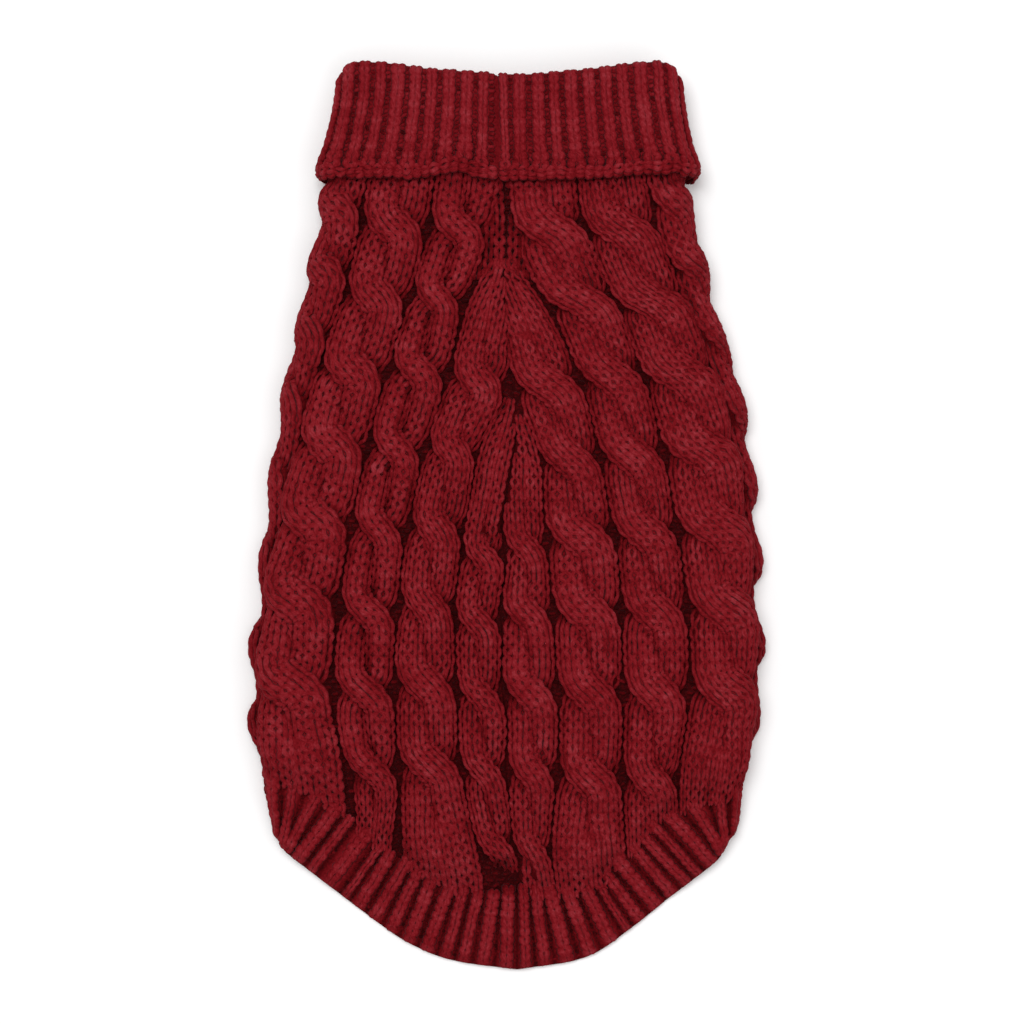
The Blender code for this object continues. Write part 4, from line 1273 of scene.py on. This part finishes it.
def belly():
    yarn = Yarn()
    edges = np.linspace(-1, 1, BELLY_RIBS + 1)
    mids = (edges[1:] + edges[:-1]) / 2
    clear = lambda x, y, r: (np.hypot(x - LEG_X, y - LEG_Y) > r) & (np.hypot(x + LEG_X, y - LEG_Y) > r)
    for k, v in enumerate(mids):
        y = np.arange(NECK_Y - 2.0, float(belly_end(np.array([v]))[0]) + 1.2, -4.4 / PER)
        points, _ = belly_place(v, 0.0, y)
        keep = clear(points[..., 0], y, LEG_R + LEG_BAND + 2.4)
        place = lambda ww, ss: belly_place(v, ww, ss)
        ropes(yarn, place, y, 3.9, lean=0.245, swing=0.05, fat=0.27, high=0.6, keep=keep, spread=0)
    rows = 70
    at, low = [], []
    for k in range(BELLY_RIBS):
        a, b = edges[k], edges[k + 1]
        at += [a, a + (b - a) * 0.3, a + (b - a) * 0.7]
        low += [1.5, 0.55, 0.55]
    at, low = np.array(at + [1.0]), np.array(low + [1.5])
    end = belly_end(at)
    y = NECK_Y - 0.2 + (end[None] - NECK_Y + 0.2) * (np.arange(rows) / (rows - 1))[:, None]
    outer = belly_place(at[None], 0.0, y, low[None])[0]
    inner = belly_place(at[None], 0.0, y, 2.2)[0]
    # the cloth's outside is painted darker than the yarn, as shade seen in the slits
    cloth = wall_object("cloth_belly", outer, inner, CLOTH_RED, tone_out=0.3, tone_in=0.7)
    tools = [cutter("cut_left", -LEG_X, LEG_R + LEG_BAND + 0.2, -5, 12), cutter("cut_right", LEG_X, LEG_R + LEG_BAND + 0.2, -5, 12)]
    for tool in tools:
        m = cloth.modifiers.new(tool.name, "BOOLEAN")
        m.operation, m.object = "DIFFERENCE", tool
    done = bpy.data.meshes.new_from_object(cloth.evaluated_get(bpy.context.evaluated_depsgraph_get()))
    cloth.modifiers.clear()
    old = cloth.data
    cloth.data = done
    done.name = "cloth_belly"
    bpy.data.meshes.remove(old)
    for tool in tools:
        bpy.data.objects.remove(tool, do_unlink=True)
    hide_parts("belly")
    return cloth, [yarn.build("yarn_belly", YARN_RED, "rib")]


def leg_band(tag, x):
    """A ribbed ring in a leg opening, turned over at its inner edge."""
    ribs, flat, turn = 27, 5.9, math.pi * 0.75
    r_in = LEG_R + 0.95 + 0.1

    def place(a, w, s, low=0.0):
        a, w, s, low = np.broadcast_arrays(*(np.asarray(v, float) for v in (a, w, s, low)))
        arc = np.clip((s - flat) / 0.75, 0, math.pi)
        radius = 0.75 - low
        r = np.where(s < flat, r_in + flat - s, np.where(arc < math.pi, r_in - radius * np.sin(arc), r_in + (s - flat - turn)))
        z = 1.65 - 0.75 * np.cos(arc) + low * np.cos(arc)
        t = a + w / np.maximum(r, 5)
        point = np.stack([x + r * np.cos(t), LEG_Y + r * np.sin(t), z], -1)
        normal = np.stack([-np.sin(arc) * np.cos(t), -np.sin(arc) * np.sin(t), -np.cos(arc)], -1)
        return point, normal

    yarn = Yarn()
    for k in range(ribs):
        a = 2 * math.pi * k / ribs
        s = np.arange(0.4, flat + turn + 4.6, 2.8 / PER)
        ropes(yarn, lambda ww, ss: place(a, ww, ss), s, 3.7, lean=0.245, swing=0.04, fat=0.26, high=0.8, loose=0.05)
    cols = ribs * 3
    a = (np.arange(cols) - 1.5) * 2 * math.pi / cols
    low = np.where(np.arange(cols) % 3 == 0, 0.55, 0.1)
    s = np.concatenate([np.linspace(0, flat, 7), flat + turn * np.linspace(0, 1, 6)[1:], flat + turn + np.linspace(0, 5.4, 7)[1:]])
    outer = place(a[None], 0.0, s[:, None], low[None])[0]
    inner = place(a[None], 0.0, s[:, None], 0.70)[0]
    # the cloth's outside is painted darker than the yarn, as shade seen in the slits
    cloth = wall_object(f"cloth_leg_band_{tag}", outer, inner, CLOTH_RED, closed=True, tone_out=0.3, tone_in=0.5)
    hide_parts(f"leg_band_{tag}")
    return cloth, [yarn.build(f"yarn_leg_band_{tag}", YARN_RED, "rib")]


# ---------------------------------------------------------------- assembly
for side, tag, flat, area in ((-1, "left", (0.101, 0.255), 0.0222), (1, "right", (0.101, 0.255), 0.0222)):
    cloth, yarns = back_panel(side)

cloth, yarns = collar()

cloth, yarns = hem()

cloth, yarns = belly()

for tag, x in (("left", -LEG_X), ("right", LEG_X)):
    cloth, yarns = leg_band(tag, x)


# ------------------------------------------------------------- stage, light
def stage_floor():
    mesh = bpy.data.meshes.new("floor")
    r = 3.0
    mesh.from_pydata([(-r, -r, 0), (r, -r, 0), (r, r, 0), (-r, r, 0)], [], [(0, 1, 2, 3)])
    m, nt, shader = new_material("pale_floor")
    shader.inputs["Base Color"].default_value = (0.93, 0.93, 0.93, 1)
    shader.inputs["Roughness"].default_value = 0.9
    mesh.materials.append(m)
    obj = bpy.data.objects.new("floor", mesh)
    bpy.context.scene.collection.objects.link(obj)
    obj.location.z = -0.0001


stage_floor()

world = bpy.data.worlds.new("studio")
bpy.context.scene.world = world
world.use_nodes = True
world.node_tree.nodes["Background"].inputs["Color"].default_value = (1, 1, 1, 1)
world.node_tree.nodes["Background"].inputs["Strength"].default_value = 0.50


def area_light(name, size, power, place, aim=(0, 0, 0)):
    light = bpy.data.lights.new(name, "AREA")
    light.shape = "DISK"
    light.size = size
    light.energy = power
    obj = bpy.data.objects.new(name, light)
    obj.location = place
    d = Vector(aim) - Vector(place)
    obj.rotation_euler = d.to_track_quat("-Z", "Y").to_euler()
    bpy.context.scene.collection.objects.link(obj)


area_light("key", 0.9, 15.0, (-0.25, 0.45, 1.5))
area_light("fill", 1.2, 5.0, (0.5, -0.4, 1.4))

camera = bpy.data.cameras.new("camera")
camera.lens = 100
camera.sensor_width = 36
camera.dof.use_dof = False
cam = bpy.data.objects.new("camera", camera)
cam.location = (px(512) * MM, py(512) * MM, 0.996 + 0.006)
cam.rotation_euler = (0, 0, 0)
bpy.context.scene.collection.objects.link(cam)
bpy.context.scene.camera = cam
bpy.context.scene.view_settings.view_transform = "Standard"

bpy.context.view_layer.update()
